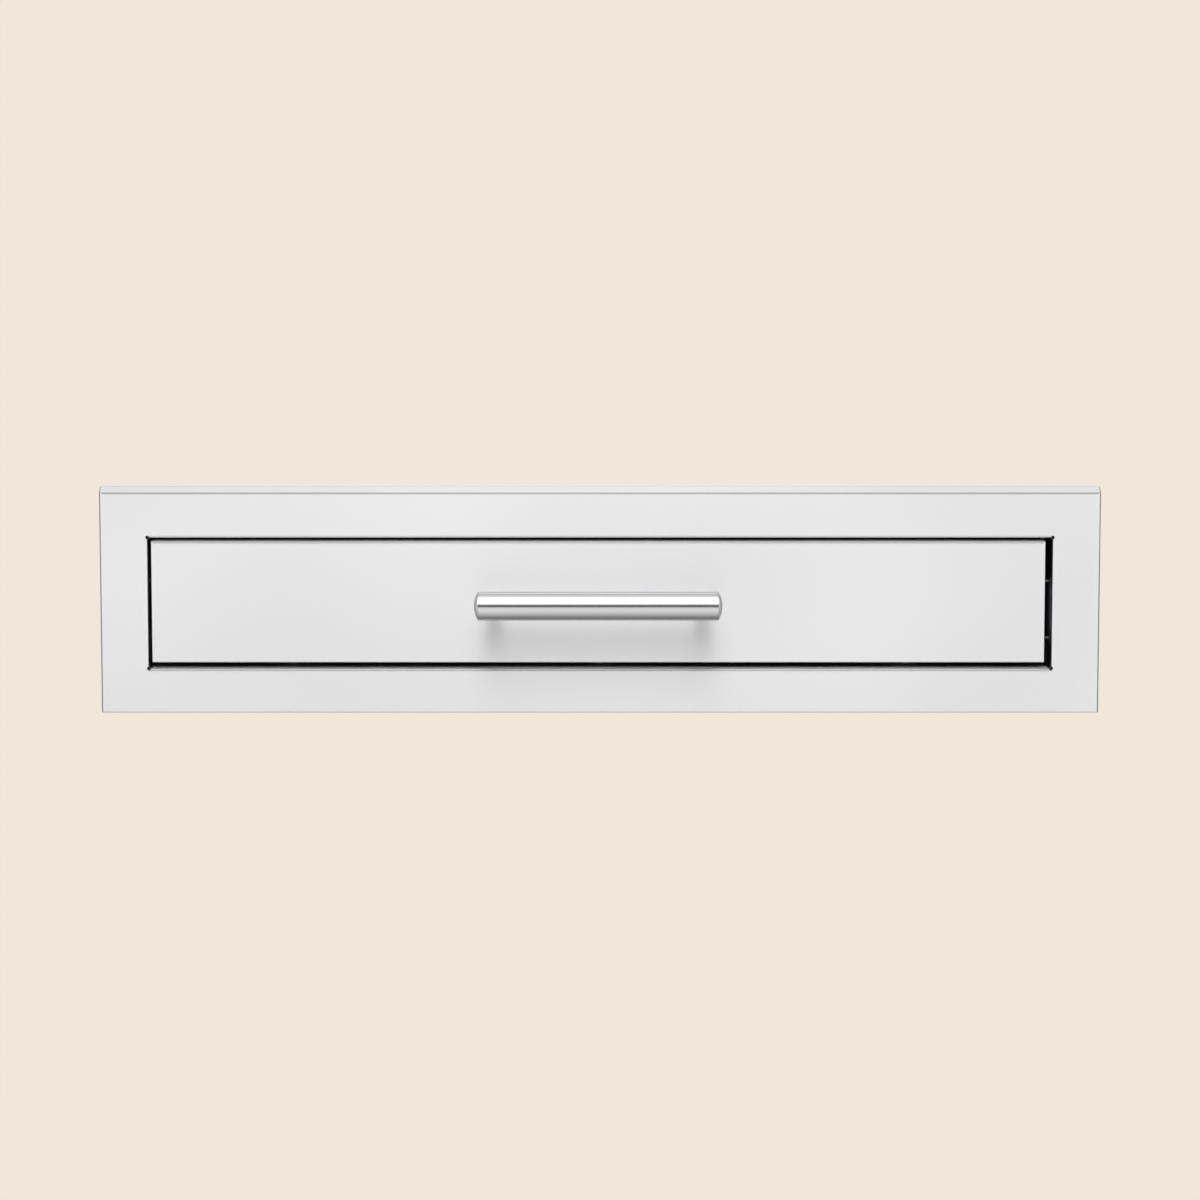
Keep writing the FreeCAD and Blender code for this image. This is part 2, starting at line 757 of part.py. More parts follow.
def handle_backing():
    """A flat bar inside the drawer front that spreads the load of the handle."""
    half = backing_length / 2
    rise = backing_height / 2
    start = face_y + skin_sheet
    plate = block((handle_x - half, handle_x + half), (start, start + backing_thickness),
                  (handle_z - rise, handle_z + rise))
    drills = [rod((x, start - 1, handle_z), Vector(0, 1, 0), m5_radius + screw_clearance,
                  2 + backing_thickness) for x in post_places]
    return with_holes(plate, drills)


def handle_spacers():
    """Sleeves round the handle screws, so that they don't squeeze the two skins together."""
    start = face_y + skin_sheet + backing_thickness
    length = front_back_y - liner_sheet - start
    sleeve = washer(spacer_radius, m5_radius + screw_clearance, length)
    return Part.makeCompound([aimed(sleeve, (x, start, handle_z), Vector(0, 1, 0)) for x in post_places])


def handle_tube():
    length = handle_length - 2 * cap_dome
    start = (handle_x - length / 2, handle_y, handle_z)
    tube = rod(start, Vector(1, 0, 0), handle_radius, length)
    return tube.cut(rod(start, Vector(1, 0, 0), handle_radius - handle_wall, length))


def handle_cap(side):
    """A domed plug in the end of the handle tube."""
    sphere = (handle_radius ** 2 + cap_dome ** 2) / (2 * cap_dome)
    dome = Part.makeSphere(sphere, Vector(0, 0, cap_dome - sphere))
    dome = dome.common(Part.makeCylinder(handle_radius - cap_edge / 4, cap_dome))
    bore = handle_radius - handle_wall - cap_spigot_clearance
    spigot = Part.makeCylinder(bore, cap_spigot, Vector(0, 0, -cap_spigot))
    end = handle_x + side * (handle_length / 2 - cap_dome)
    return aimed(dome.fuse(spigot).removeSplitter(), (end, handle_y, handle_z), Vector(side, 0, 0))


def handle_post(x):
    """A round post, cut at its far end to sit on the tube, with a blind thread for its screw."""
    post = rod((x, face_y, handle_z), Vector(0, -1, 0), handle_post_diameter / 2, handle_standoff)
    tube = rod((x - handle_post_diameter, handle_y, handle_z), Vector(1, 0, 0),
               handle_radius + handle_weld_gap, 2 * handle_post_diameter)
    thread = rod((x, face_y, handle_z), Vector(0, -1, 0), m5_radius + thread_clearance,
                 handle_post_thread_depth + m4_point)
    return post.cut(tube).cut(thread)


def handle_screws():
    """The long screws that hold the handle from inside the tray."""
    head_y = front_back_y + tray_sheet + m5_washer
    length = head_y - face_y + handle_post_thread_depth
    screw = socket_screw(m5_radius, m5_head_radius, m5_head, m5_socket, length, m4_point)
    return Part.makeCompound([aimed(screw, (x, head_y, handle_z), Vector(0, 1, 0)) for x in post_places])


def handle_washers():
    ring = washer(m5_washer_radius, m5_radius + screw_clearance, m5_washer)
    seat = front_back_y + tray_sheet
    return Part.makeCompound([aimed(ring, (x, seat, handle_z), Vector(0, 1, 0)) for x in post_places])


# Tray: a folded body, with a pan at each end
def tray_rivet_places():
    """Rivets through the tray's sides and its end pans, as point and outward way."""
    ends = (front_back_y + tray_end_flange / 2, tray_back_y - tray_end_flange / 2)
    return [((side * tray_half_x, y, z), Vector(side, 0, 0)) for side in (-1, 1) for y in ends
            for z in (tray_bottom + tray_rivet_low, tray_top - tray_rivet_high)]


def tray_drills():
    radius = rivet_radius + rivet_hole_clearance
    reach = rivet_head + 2 * tray_sheet + rivet_tail
    return [rod(point, way * -1, radius, reach) for point, way in tray_rivet_places()]


def tray_body():
    """Bottom and both sides in one sheet, with a folded rim along each side."""
    rim_x = tray_half_x - tray_hem
    rim_z = tray_top - tray_hem_lip
    path = [(-rim_x, rim_z), (-rim_x, tray_top), (-tray_half_x, tray_top), (-tray_half_x, tray_bottom),
            (tray_half_x, tray_bottom), (tray_half_x, tray_top), (rim_x, tray_top), (rim_x, rim_z)]
    points, radii = folded_sheet(path, tray_sheet, fold_radius)
    face = outline_face(on_xz, points, radii)
    face.translate(Vector(0, front_back_y, 0))
    shape = face.extrude(Vector(0, tray_back_y - front_back_y, 0))
    notch = tray_end_flange + tray_hem_notch
    for y in ((front_back_y - 1, front_back_y + notch), (tray_back_y - notch, tray_back_y + 1)):
        shape = shape.cut(block((-tray_inner_x, tray_inner_x), y, (rim_z - 1, tray_top + 1)))
    drills = [rod((side * (tray_half_x + 1), y, slide_z), Vector(-side, 0, 0),
                  m4_radius + screw_clearance, 2 + tray_sheet)
              for side in (-1, 1) for y in inner_screw_places()]
    drills += [rod((side * (tray_half_x + 1), lever_pivot_y, slide_z), Vector(-side, 0, 0),
                   lever_pin_radius, 2 + tray_sheet) for side in (-1, 1)]
    return with_holes(shape, drills + tray_drills())


def tray_end(y):
    """A pan between the tray's sides: its flat is at y[0] and its flanges end at y[1]."""
    return pan((-tray_inner_x, tray_inner_x), y, (tray_floor, tray_top), tray_sheet,
               tray_end_edge, tray_end_corner)


def tray_front():
    """The front pan, with round holes for the handle and slots that let the drawer front be set."""
    shape = tray_end((front_back_y, front_back_y + tray_end_flange))
    start = front_back_y - 1
    drills = [rod((x, start, handle_z), Vector(0, 1, 0), m5_radius + screw_clearance, 2 + tray_sheet)
              for x in post_places]
    radius = m4_radius + screw_clearance
    for x, z in front_screw_places():
        for shift in (-front_slot_travel, front_slot_travel):
            drills.append(rod((x + shift, start, z), Vector(0, 1, 0), radius, 2 + tray_sheet))
        drills.append(block((x - front_slot_travel, x + front_slot_travel),
                            (start, start + 2 + tray_sheet), (z - radius, z + radius)))
    for drill in drills + tray_drills():
        shape = shape.cut(drill)
    return shape


def tray_back():
    return with_holes(tray_end((tray_back_y, tray_back_y - tray_end_flange)), tray_drills())


def tray_rivets():
    rivet = blind_rivet(2 * tray_sheet)
    return Part.makeCompound([aimed(rivet, point, way) for point, way in tray_rivet_places()])


def front_screws():
    """The screws that hold the drawer front to the tray."""
    head_y = front_back_y + tray_sheet + m4_washer
    length = m4_washer + tray_sheet + liner_sheet + clinch_nut_height
    screw = socket_screw(m4_radius, m4_head_radius, m4_pan_head, m4_socket, length, m4_point)
    return Part.makeCompound([aimed(screw, (x, head_y, z), Vector(0, 1, 0)) for x, z in front_screw_places()])


def front_washers():
    ring = washer(m4_washer_radius, m4_radius + screw_clearance, m4_washer)
    seat = front_back_y + tray_sheet
    return Part.makeCompound([aimed(ring, (x, seat, z), Vector(0, 1, 0)) for x, z in front_screw_places()])


def front_nuts():
    """Round clinch nuts, pressed into the liner from inside the drawer front."""
    nut = washer(clinch_nut_radius, m4_radius + thread_clearance, clinch_nut_height)
    seat = front_back_y - liner_sheet
    return Part.makeCompound([aimed(nut, (x, seat, z), Vector(0, -1, 0)) for x, z in front_screw_places()])


def all_pieces():
    pieces = {
        "face_frame": face_frame(),
        "housing_left_side": housing_side(-1),
        "housing_right_side": housing_side(1),
        "housing_top": housing_cover(1),
        "housing_bottom": housing_cover(-1),
        "housing_back": housing_back(),
        "housing_rivets": housing_rivets(),
        "slide_screws": slide_screws(),
        "slide_nuts": slide_nuts(),
        "inner_slide_screws": inner_slide_screws(),
        "lever_pins": lever_pins(),
        "drawer_front_skin": drawer_front_skin(),
        "drawer_front_liner": drawer_front_liner(),
        "handle_backing_plate": handle_backing(),
        "handle_spacers": handle_spacers(),
        "handle_tube": handle_tube(),
        "handle_left_cap": handle_cap(-1),
        "handle_right_cap": handle_cap(1),
        "handle_left_post": handle_post(post_places[0]),
        "handle_right_post": handle_post(post_places[1]),
        "handle_screws": handle_screws(),
        "handle_washers": handle_washers(),
        "tray_body": tray_body(),
        "tray_front": tray_front(),
        "tray_back": tray_back(),
        "tray_rivets": tray_rivets(),
        "front_screws": front_screws(),
        "front_washers": front_washers(),
        "front_clinch_nuts": front_nuts(),
    }
    for name, side in (("left", -1), ("right", 1)):
        pieces[name + "_slide_outer"] = slide_outer(side)
        pieces[name + "_slide_middle"] = slide_middle(side)
        pieces[name + "_slide_inner"] = slide_inner(side)
        pieces[name + "_slide_stop"] = slide_stop(side)
        pieces[name + "_outer_cage"] = ball_cage(side, outer_cage_u, outer_ball_u, outer_ball_v)
        pieces[name + "_outer_balls"] = ball_set(side, outer_ball_u, outer_ball_v)
        pieces[name + "_inner_cage"] = ball_cage(side, inner_cage_u, inner_ball_u, inner_ball_v)
        pieces[name + "_inner_balls"] = ball_set(side, inner_ball_u, inner_ball_v)
        pieces[name + "_release_lever"] = release_lever(side)
    return pieces


os.makedirs("parts", exist_ok=True)
for node, piece in all_pieces().items():
    piece.exportStep(os.path.join("parts", node + ".step"))
    print(node, len(piece.Solids), "solids, valid" if piece.isValid() else "solids, INVALID")
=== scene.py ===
"""Outdoor kitchen drawer unit: stainless face frame, housing, slides and one wide drawer.

Metres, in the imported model's frame: X to the right, Y into the wall, Z up. The origin is the
centre of the frame's opening, on the plane where the frame meets the wall."""
import bmesh
import bpy
import math
import numpy as np
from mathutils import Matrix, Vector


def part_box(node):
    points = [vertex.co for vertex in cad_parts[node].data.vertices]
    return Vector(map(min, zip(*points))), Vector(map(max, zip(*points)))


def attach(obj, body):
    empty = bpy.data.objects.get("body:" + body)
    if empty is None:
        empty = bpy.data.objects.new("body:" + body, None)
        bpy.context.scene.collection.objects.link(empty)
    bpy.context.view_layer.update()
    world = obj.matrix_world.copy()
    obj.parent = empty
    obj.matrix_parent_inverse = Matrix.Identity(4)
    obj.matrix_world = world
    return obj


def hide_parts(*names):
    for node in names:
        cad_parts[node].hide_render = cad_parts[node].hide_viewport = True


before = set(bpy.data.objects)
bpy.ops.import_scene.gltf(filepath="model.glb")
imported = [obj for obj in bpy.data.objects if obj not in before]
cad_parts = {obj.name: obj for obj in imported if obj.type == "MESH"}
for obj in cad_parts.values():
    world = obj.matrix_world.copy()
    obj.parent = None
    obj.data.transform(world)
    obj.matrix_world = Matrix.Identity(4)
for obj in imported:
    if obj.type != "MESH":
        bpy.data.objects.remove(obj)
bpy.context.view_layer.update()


# Camera
# It stands two metres in front of the face frame and a little above it, and is aimed at the
# frame's middle. Its field of view puts 762 mm of frame on 1000 of the picture's 1200 pixels.
MM = 0.001
face_low, face_high = (np.array(corner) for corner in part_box("face_frame"))
face_middle = (face_low + face_high) / 2
camera_distance = 2.0
camera_elevation = math.radians(4.2)
frame_width = 762 * MM
picture_pixels, frame_pixels = 1200, 1000
picture_width = frame_width * picture_pixels / frame_pixels
sensor_width = 36

aim = np.array([face_middle[0], face_low[1], face_middle[2]])
eye = aim + camera_distance * np.array([0, -math.cos(camera_elevation), math.sin(camera_elevation)])
camera = bpy.data.cameras.new("camera")
camera.sensor_width = sensor_width
camera.lens = sensor_width * camera_distance / picture_width
camera_object = bpy.data.objects.new("camera", camera)
bpy.context.collection.objects.link(camera_object)
camera_object.location = eye
camera_object.rotation_euler = (math.pi / 2 - camera_elevation, 0, 0)
bpy.context.scene.camera = camera_object
bpy.context.scene.view_settings.view_transform = "Standard"


# Studio
# A pale warm floor and backdrop, which camera, mirror and glass rays see as a flat colour. The
# light comes from a curved screen before, over and behind the object, dark at the lens's height,
# and from a card overhead and one at each side. Two dark flags stand further back at the sides.
def linear(red, green, blue):
    """A colour given as 0 to 255 on a display, as Blender's linear numbers, by the display's
    curve: a straight line near black, and a power of 2.4 above it."""
    shown = np.array([red, green, blue]) / 255
    return tuple(np.where(shown > 0.04045, ((shown + 0.055) / 1.055) ** 2.4, shown / 12.92))


backdrop_colour = linear(240, 230, 218)
floor_drop = 0.9
floor_width = 40.0
shadow_middle = (0, 0.25, -floor_drop)
shadow_reach = (0.6, 1.15)
shadow_share = 0.5
world_fill = 0.6
screen_radius = 3.0
screen_half_width = 3.2
screen_above_floor = 0.05
screen_steps = 120
screen_peak = 2.1
# Brightness by elevation in degrees, seen from the opening's middle. Past 90 it is behind.
screen_brightness = [
    (-126, 0.13), (-112, 0.18), (-104, 0.28), (-90, 0.24), (-78, 0.41), (-60, 0.58),
    (-50, 0.69), (-38, 0.82), (-28, 0.88), (-14, 0.86), (-8, 0.77), (-4, 0.47),
    (-1, 0.15), (1, 0.04), (11.5, 0.04), (15.5, 0.36), (20, 1.05), (26, 1.84),
    (32, 2.1), (58, 1.85), (66, 1.7), (74, 1.38), (84, 1.0), (96, 0.74),
    (112, 0.64), (122, 0.55), (134, 0.46), (150, 0.38), (166, 0.36)]
overhead_span = (42, 58)
overhead_radius = 2.9
overhead_half_width = 0.28
overhead_steps = 12
overhead_brightness = 3.5
card_out, card_near, card_far = 3.1, (-3.0, -0.8), (0.6, 2.6)
card_brightness = 0.95
flag_out, flag_near, flag_far = 1.5, (0.3, -0.8), (2.2, 0.9)
flag_brightness = 0.06


def maths(tree, operation, *inputs):
    """A Math node on sockets and plain numbers. Gives its output socket."""
    node = tree.nodes.new("ShaderNodeMath")
    node.operation = operation
    for socket, value in zip(node.inputs, inputs):
        if isinstance(value, bpy.types.NodeSocket):
            tree.links.new(value, socket)
        else:
            socket.default_value = value
    return node.outputs[0]


def seen_directly(tree):
    """A socket that is 1 for camera, glossy and transmission rays, and 0 for the rest."""
    path = tree.nodes.new("ShaderNodeLightPath")
    first = maths(tree, "MAXIMUM", path.outputs["Is Camera Ray"], path.outputs["Is Glossy Ray"])
    return maths(tree, "MAXIMUM", first, path.outputs["Is Transmission Ray"])


def mixed(tree, share, first, second):
    """A shader that is the first one where the share is 0, and the second where it is 1."""
    mix = tree.nodes.new("ShaderNodeMixShader")
    tree.links.new(share, mix.inputs["Fac"])
    tree.links.new(first, mix.inputs[1])
    tree.links.new(second, mix.inputs[2])
    return mix.outputs[0]


def empty_material(name):
    """A new material with nothing in it but its output, and that output's surface socket."""
    material = bpy.data.materials.new(name)
    material.use_nodes = True
    material.node_tree.nodes.clear()
    output = material.node_tree.nodes.new("ShaderNodeOutputMaterial")
    return material, material.node_tree, output.inputs["Surface"]


def backdrop_floor():
    """A flat colour to look at and a matt one for the light. Under the object the matt one shows
    too, so that its shadow is kept, and fades out with the distance."""
    material, tree, surface = empty_material("backdrop_floor")
    matt = tree.nodes.new("ShaderNodeBsdfDiffuse")
    matt.inputs["Color"].default_value = (*backdrop_colour, 1)
    flat = tree.nodes.new("ShaderNodeEmission")
    flat.inputs["Color"].default_value = (*backdrop_colour, 1)
    place = tree.nodes.new("ShaderNodeTexCoord")
    distance = tree.nodes.new("ShaderNodeVectorMath")
    distance.operation = "DISTANCE"
    tree.links.new(place.outputs["Object"], distance.inputs[0])
    distance.inputs[1].default_value = shadow_middle
    fade = tree.nodes.new("ShaderNodeMapRange")
    fade.interpolation_type = "SMOOTHSTEP"
    fade.inputs["From Min"].default_value, fade.inputs["From Max"].default_value = shadow_reach
    fade.inputs["To Min"].default_value, fade.inputs["To Max"].default_value = 1 - shadow_share, 1
    tree.links.new(distance.outputs["Value"], fade.inputs["Value"])
    share = maths(tree, "MULTIPLY", seen_directly(tree), fade.outputs["Result"])
    tree.links.new(mixed(tree, share, matt.outputs[0], flat.outputs[0]), surface)
    return material


def light_screen():
    """Emission on the screen's inner face, by its elevation seen from the opening's middle. Its
    outer face is clear."""
    material, tree, surface = empty_material("light_screen")
    place = tree.nodes.new("ShaderNodeTexCoord")
    split = tree.nodes.new("ShaderNodeSeparateXYZ")
    tree.links.new(place.outputs["Object"], split.inputs[0])
    forward = maths(tree, "MULTIPLY", split.outputs["Y"], -1.0)
    elevation = maths(tree, "ARCTAN2", split.outputs["Z"], forward)
    first, last = (math.radians(screen_brightness[i][0]) for i in (0, -1))
    turn = tree.nodes.new("ShaderNodeMapRange")
    turn.inputs["From Min"].default_value, turn.inputs["From Max"].default_value = first, last
    tree.links.new(elevation, turn.inputs["Value"])
    ramp = tree.nodes.new("ShaderNodeValToRGB")
    stops = ramp.color_ramp.elements
    stops_at_first = len(stops)
    for i, (degrees, brightness) in enumerate(screen_brightness):
        at = (math.radians(degrees) - first) / (last - first)
        stop = stops[i] if i < stops_at_first else stops.new(at)
        stop.position = at
        stop.color = (*[brightness / screen_peak] * 3, 1)
    tree.links.new(turn.outputs["Result"], ramp.inputs["Fac"])
    glow = tree.nodes.new("ShaderNodeEmission")
    tree.links.new(ramp.outputs["Color"], glow.inputs["Color"])
    glow.inputs["Strength"].default_value = screen_peak
    clear = tree.nodes.new("ShaderNodeBsdfTransparent")
    side = tree.nodes.new("ShaderNodeNewGeometry")
    tree.links.new(mixed(tree, side.outputs["Backfacing"], glow.outputs[0], clear.outputs[0]), surface)
    return material


def flat_card(name, brightness):
    """A card that sends out an even grey light."""
    material, tree, surface = empty_material(name)
    glow = tree.nodes.new("ShaderNodeEmission")
    glow.inputs["Strength"].default_value = brightness
    tree.links.new(glow.outputs[0], surface)
    return material


def studio_sheet(name, points, faces, material, hidden=False):
    """A surface of the studio, which isn't part of the object. A hidden one is out of the lens's
    sight and casts no shadow."""
    mesh = bpy.data.meshes.new(name)
    mesh.from_pydata(np.asarray(points).tolist(), [], faces)
    mesh.materials.append(material)
    sheet = bpy.data.objects.new(name, mesh)
    bpy.context.collection.objects.link(sheet)
    sheet.visible_camera = not hidden
    sheet.visible_shadow = not hidden


world = bpy.data.worlds.new("studio")
bpy.context.scene.world = world
world.use_nodes = True
world.node_tree.nodes.clear()
sky = world.node_tree.nodes.new("ShaderNodeBackground")
sky.inputs["Color"].default_value = (1, 1, 1, 1)
sky.inputs["Strength"].default_value = world_fill
flat_sky = world.node_tree.nodes.new("ShaderNodeBackground")
flat_sky.inputs["Color"].default_value = (*backdrop_colour, 1)
flat_sky.inputs["Strength"].default_value = 1
sky_output = world.node_tree.nodes.new("ShaderNodeOutputWorld")
world.node_tree.links.new(
    mixed(world.node_tree, seen_directly(world.node_tree), sky.outputs[0], flat_sky.outputs[0]),
    sky_output.inputs["Surface"])

half_floor = floor_width / 2
floor_corners = [(-half_floor, -half_floor, -floor_drop), (half_floor, -half_floor, -floor_drop),
                 (half_floor, half_floor, -floor_drop), (-half_floor, half_floor, -floor_drop)]
studio_sheet("floor", floor_corners, [(0, 1, 2, 3)], backdrop_floor())


def curved_sheet(first, last, steps, radius, half_width):
    """Points and faces of a sheet curved about the object: at each elevation a line across, at
    the radius, or nearer where the sheet would go through the floor."""
    turn = np.radians(np.linspace(first, last, steps + 1))
    nearly_level = 0.01
    downwards = np.maximum(-np.sin(turn), nearly_level)
    reach = np.minimum(radius, (floor_drop - screen_above_floor) / downwards)
    side = np.broadcast_to(np.array([-1, 1]) * half_width, (len(turn), 2))
    points = np.stack([side, -(reach * np.cos(turn))[:, None] + 0 * side,
                       (reach * np.sin(turn))[:, None] + 0 * side], -1).reshape(-1, 3)
    start = 2 * np.arange(steps)
    faces = np.stack([start, start + 2, start + 3, start + 1], 1)
    return points, faces.tolist()


screen_sheet = curved_sheet(screen_brightness[0][0], screen_brightness[-1][0], screen_steps,
                            screen_radius, screen_half_width)
studio_sheet("light_screen", *screen_sheet, light_screen(), hidden=True)
overhead_sheet = curved_sheet(*overhead_span, overhead_steps, overhead_radius, overhead_half_width)
studio_sheet("overhead_card", *overhead_sheet, flat_card("overhead_card", overhead_brightness),
             hidden=True)


def upright_cards(kind, out, near, far, brightness):
    """A card at each side, upright and in line with the drawer's travel, between a near and a
    far (y, z) corner."""
    for side, way in (("left", -1), ("right", 1)):
        name = side + "_" + kind
        x = way * out
        points = [(x, near[0], near[1]), (x, far[0], near[1]), (x, far[0], far[1]), (x, near[0], far[1])]
        studio_sheet(name, points, [(0, 1, 2, 3)], flat_card(name, brightness), hidden=True)


upright_cards("card", card_out, card_near, card_far, card_brightness)
upright_cards("flag", flag_out, flag_near, flag_far, flag_brightness)


# Face frame
# One sheet of stainless steel, brushed along its length, folded back round its outer edge and
# round the opening. A small round relief at each corner of the opening lets the folds meet.
outer_low, outer_high = face_low[[0, 2]], face_high[[0, 2]]
face_y, jamb_back = face_low[1], face_high[1]
frame_sheet = 1.2 * MM
opening_half = np.array([344.5, 50.0]) * MM
drip_rise, drip_run, drip_bend = 5.0 * MM, 6.0 * MM, 1.6 * MM
frame_edge, frame_corner = 2.4 * MM, 1.2 * MM
foot_share = 0.45
opening_edge, opening_corner = 1.8 * MM, 0.4 * MM
relief_radius, relief_depth = 1.5 * MM, 3.0 * MM
wall_lip, wall_lip_corner = 12.0 * MM, 4.0 * MM
flat_margin = 0.4 * MM
fold_steps, corner_steps, relief_sides = 8, 8, 24
joined_within = 1e-7
sharp_from = math.radians(35)
steel_colour = (0.97, 0.96, 0.975)
brushed_spread, brushed_directed = 0.42, 0.85
groove_lines, groove_depth = (14, 2600, 1), 0.003 * MM
groove_detail, groove_raggedness = 4, 0.65
brushed_clouds, cloud_scale, polish_change = 0.04, 7, 0.05
quarter_turn = 0.25
# Painted shade on upward and upright folds. At a fold of 1 the colour is multiplied by the tone below.
fold_shade_tone = 0.25
top_fold_shade, slope_fold_shade, sill_fold_shade = 0.77, 0.25, 0.66
upright_fold_shade, upright_fold_shade_start = 0.66, 1 / 8
jamb_fold_shade = 0.6


def brushed_surface(tree, shader, place, colour, roughness, lines, depth, clouds):
    """The look of brushing or rolling on a shader. Noise stretched by the lines in a metre makes
    the grooves, and clouds of noise make the polish and the tone uneven. Gives the tone's
    colour socket."""
    stretched = tree.nodes.new("ShaderNodeMapping")
    stretched.inputs["Scale"].default_value = lines
    tree.links.new(place, stretched.inputs["Vector"])
    grooves = tree.nodes.new("ShaderNodeTexNoise")
    grooves.inputs["Scale"].default_value = 1
    grooves.inputs["Detail"].default_value = groove_detail
    grooves.inputs["Roughness"].default_value = groove_raggedness
    tree.links.new(stretched.outputs["Vector"], grooves.inputs["Vector"])
    bump = tree.nodes.new("ShaderNodeBump")
    bump.inputs["Strength"].default_value = 1
    bump.inputs["Distance"].default_value = depth
    tree.links.new(grooves.outputs["Fac"], bump.inputs["Height"])
    tree.links.new(bump.outputs["Normal"], shader.inputs["Normal"])
    cloud = tree.nodes.new("ShaderNodeTexNoise")
    cloud.inputs["Scale"].default_value = cloud_scale
    cloud.inputs["Detail"].default_value = 0
    tree.links.new(place, cloud.inputs["Vector"])
    polish = tree.nodes.new("ShaderNodeMapRange")
    polish.inputs["To Min"].default_value = roughness * (1 - polish_change)
    polish.inputs["To Max"].default_value = roughness * (1 + polish_change)
    tree.links.new(cloud.outputs["Fac"], polish.inputs["Value"])
    tree.links.new(polish.outputs["Result"], shader.inputs["Roughness"])
    shade = tree.nodes.new("ShaderNodeMix")
    shade.data_type = "RGBA"
    shade.inputs["A"].default_value = (*[c * (1 - clouds) for c in colour], 1)
    shade.inputs["B"].default_value = (*[min(c * (1 + clouds), 1) for c in colour], 1)
    tree.links.new(cloud.outputs["Fac"], shade.inputs["Factor"])
    return shade.outputs["Result"]


def brushed_steel(name, colour, roughness, depth, directed=1.0):
    """Steel brushed along the first axis of the piece's grain map, so it spreads light across the
    grain. The piece's fold attribute darkens it with painted shade."""
    material = bpy.data.materials.new(name)
    material.use_nodes = True
    tree = material.node_tree
    shader = tree.nodes["Principled BSDF"]
    shader.inputs["Metallic"].default_value = 1
    shader.inputs["Anisotropic"].default_value = directed
    shader.inputs["Anisotropic Rotation"].default_value = quarter_turn
    grain = tree.nodes.new("ShaderNodeUVMap")
    grain.uv_map = "grain"
    tangent = tree.nodes.new("ShaderNodeTangent")
    tangent.direction_type = "UV_MAP"
    tangent.uv_map = "grain"
    tree.links.new(tangent.outputs["Tangent"], shader.inputs["Tangent"])
    tone = brushed_surface(tree, shader, grain.outputs["UV"], colour, roughness, groove_lines, depth,
                           brushed_clouds)
    # Painted shade: the fold attribute darkens the steel on its folds.
    fold = tree.nodes.new("ShaderNodeAttribute")
    fold.attribute_name = "fold"
    painted_fold_shade = tree.nodes.new("ShaderNodeMix")
    painted_fold_shade.data_type = "RGBA"
    painted_fold_shade.blend_type = "MULTIPLY"
    painted_fold_shade.inputs["B"].default_value = (*[fold_shade_tone] * 3, 1)
    tree.links.new(fold.outputs["Fac"], painted_fold_shade.inputs["Factor"])
    tree.links.new(tone, painted_fold_shade.inputs["A"])
    tree.links.new(painted_fold_shade.outputs["Result"], shader.inputs["Base Color"])
    return material


def arc(first, last, steps=fold_steps):
    """Evenly spaced angles from a first to a last one, given in degrees."""
    return np.radians(np.linspace(first, last, steps + 1))


def side_fold():
    """The frame's sides from front to back, as (inset, depth): a fold at the face and another at
    the wall, joined by a straight return. On a fold the inset is the radius less its sine, and
    the depth is the radius less its cosine."""
    front, back = arc(0, 90), arc(90, 0)
    inset = np.concatenate([frame_edge * (1 - np.sin(front)), frame_edge * (1 - np.sin(back))])
    depth = np.concatenate([face_y + frame_edge * (1 - np.cos(front)), -frame_edge * (1 - np.cos(back))])
    return np.stack([inset, depth], 1)


def drip_fold():
    """The frame's top from front to back, as (inset, depth): a gentle fold, a slope that sheds
    rain, a second gentle fold, a level stretch and the fold at the wall. On a fold the inset
    falls with the sine of the turn, and the depth grows as its cosine falls."""
    lean = math.atan2(drip_run, drip_rise)
    first = np.linspace(0, lean, fold_steps + 1)
    second = np.linspace(lean, math.pi / 2, fold_steps + 1)
    back = arc(90, 0)
    start = drip_rise + drip_bend * math.tan(lean / 2)
    rest = drip_bend * math.tan((math.pi / 2 - lean) / 2)
    inset = np.concatenate([
        start - drip_bend * np.sin(first),
        rest * math.cos(lean) - drip_bend * (np.sin(second) - math.sin(lean)),
        frame_edge * (1 - np.sin(back))])
    depth = np.concatenate([
        face_y + drip_bend * (1 - np.cos(first)),
        face_y + drip_run - rest * math.sin(lean) + drip_bend * (math.cos(lean) - np.cos(second)),
        -frame_edge * (1 - np.cos(back))])
    return np.stack([inset, depth], 1)


def inner_face(fold):
    """The inner face of a fold: each point of the outer one moved across the frame's sheet."""
    along = np.gradient(fold, axis=0)
    along /= np.linalg.norm(along, axis=1, keepdims=True)
    return fold + frame_sheet * np.stack([along[:, 1], -along[:, 0]], 1)


def at_depths(fold, depths):
    """A fold's inset, and its length from the face measured along the sheet, at given depths."""
    length = np.concatenate([[0], np.cumsum(np.linalg.norm(np.diff(fold, axis=0), axis=1))])
    return np.interp(depths, fold[:, 1], fold[:, 0]), np.interp(depths, fold[:, 1], length)


def ring(low, high, radius, depth):
    """A closed ring of points round a rectangle at one depth, with an arc at each corner: a point
    is its arc's middle plus the radius times the way outwards. Gives the points and their ways."""
    places, ways = [], []
    for corner in range(4):
        right, upper = corner in (0, 3), corner in (0, 1)
        angle = math.pi / 2 * (corner + np.linspace(0, 1, corner_steps + 1))
        way = np.stack([np.cos(angle), np.sin(angle)], 1)
        middle = np.array([high[0] - radius if right else low[0] + radius,
                           high[1] - radius if upper else low[1] + radius])
        places.append(middle + radius * way)
        ways.append(way)
    places, ways = np.concatenate(places), np.concatenate(ways)
    return np.stack([places[:, 0], np.full(len(places), depth), places[:, 1]], 1), ways


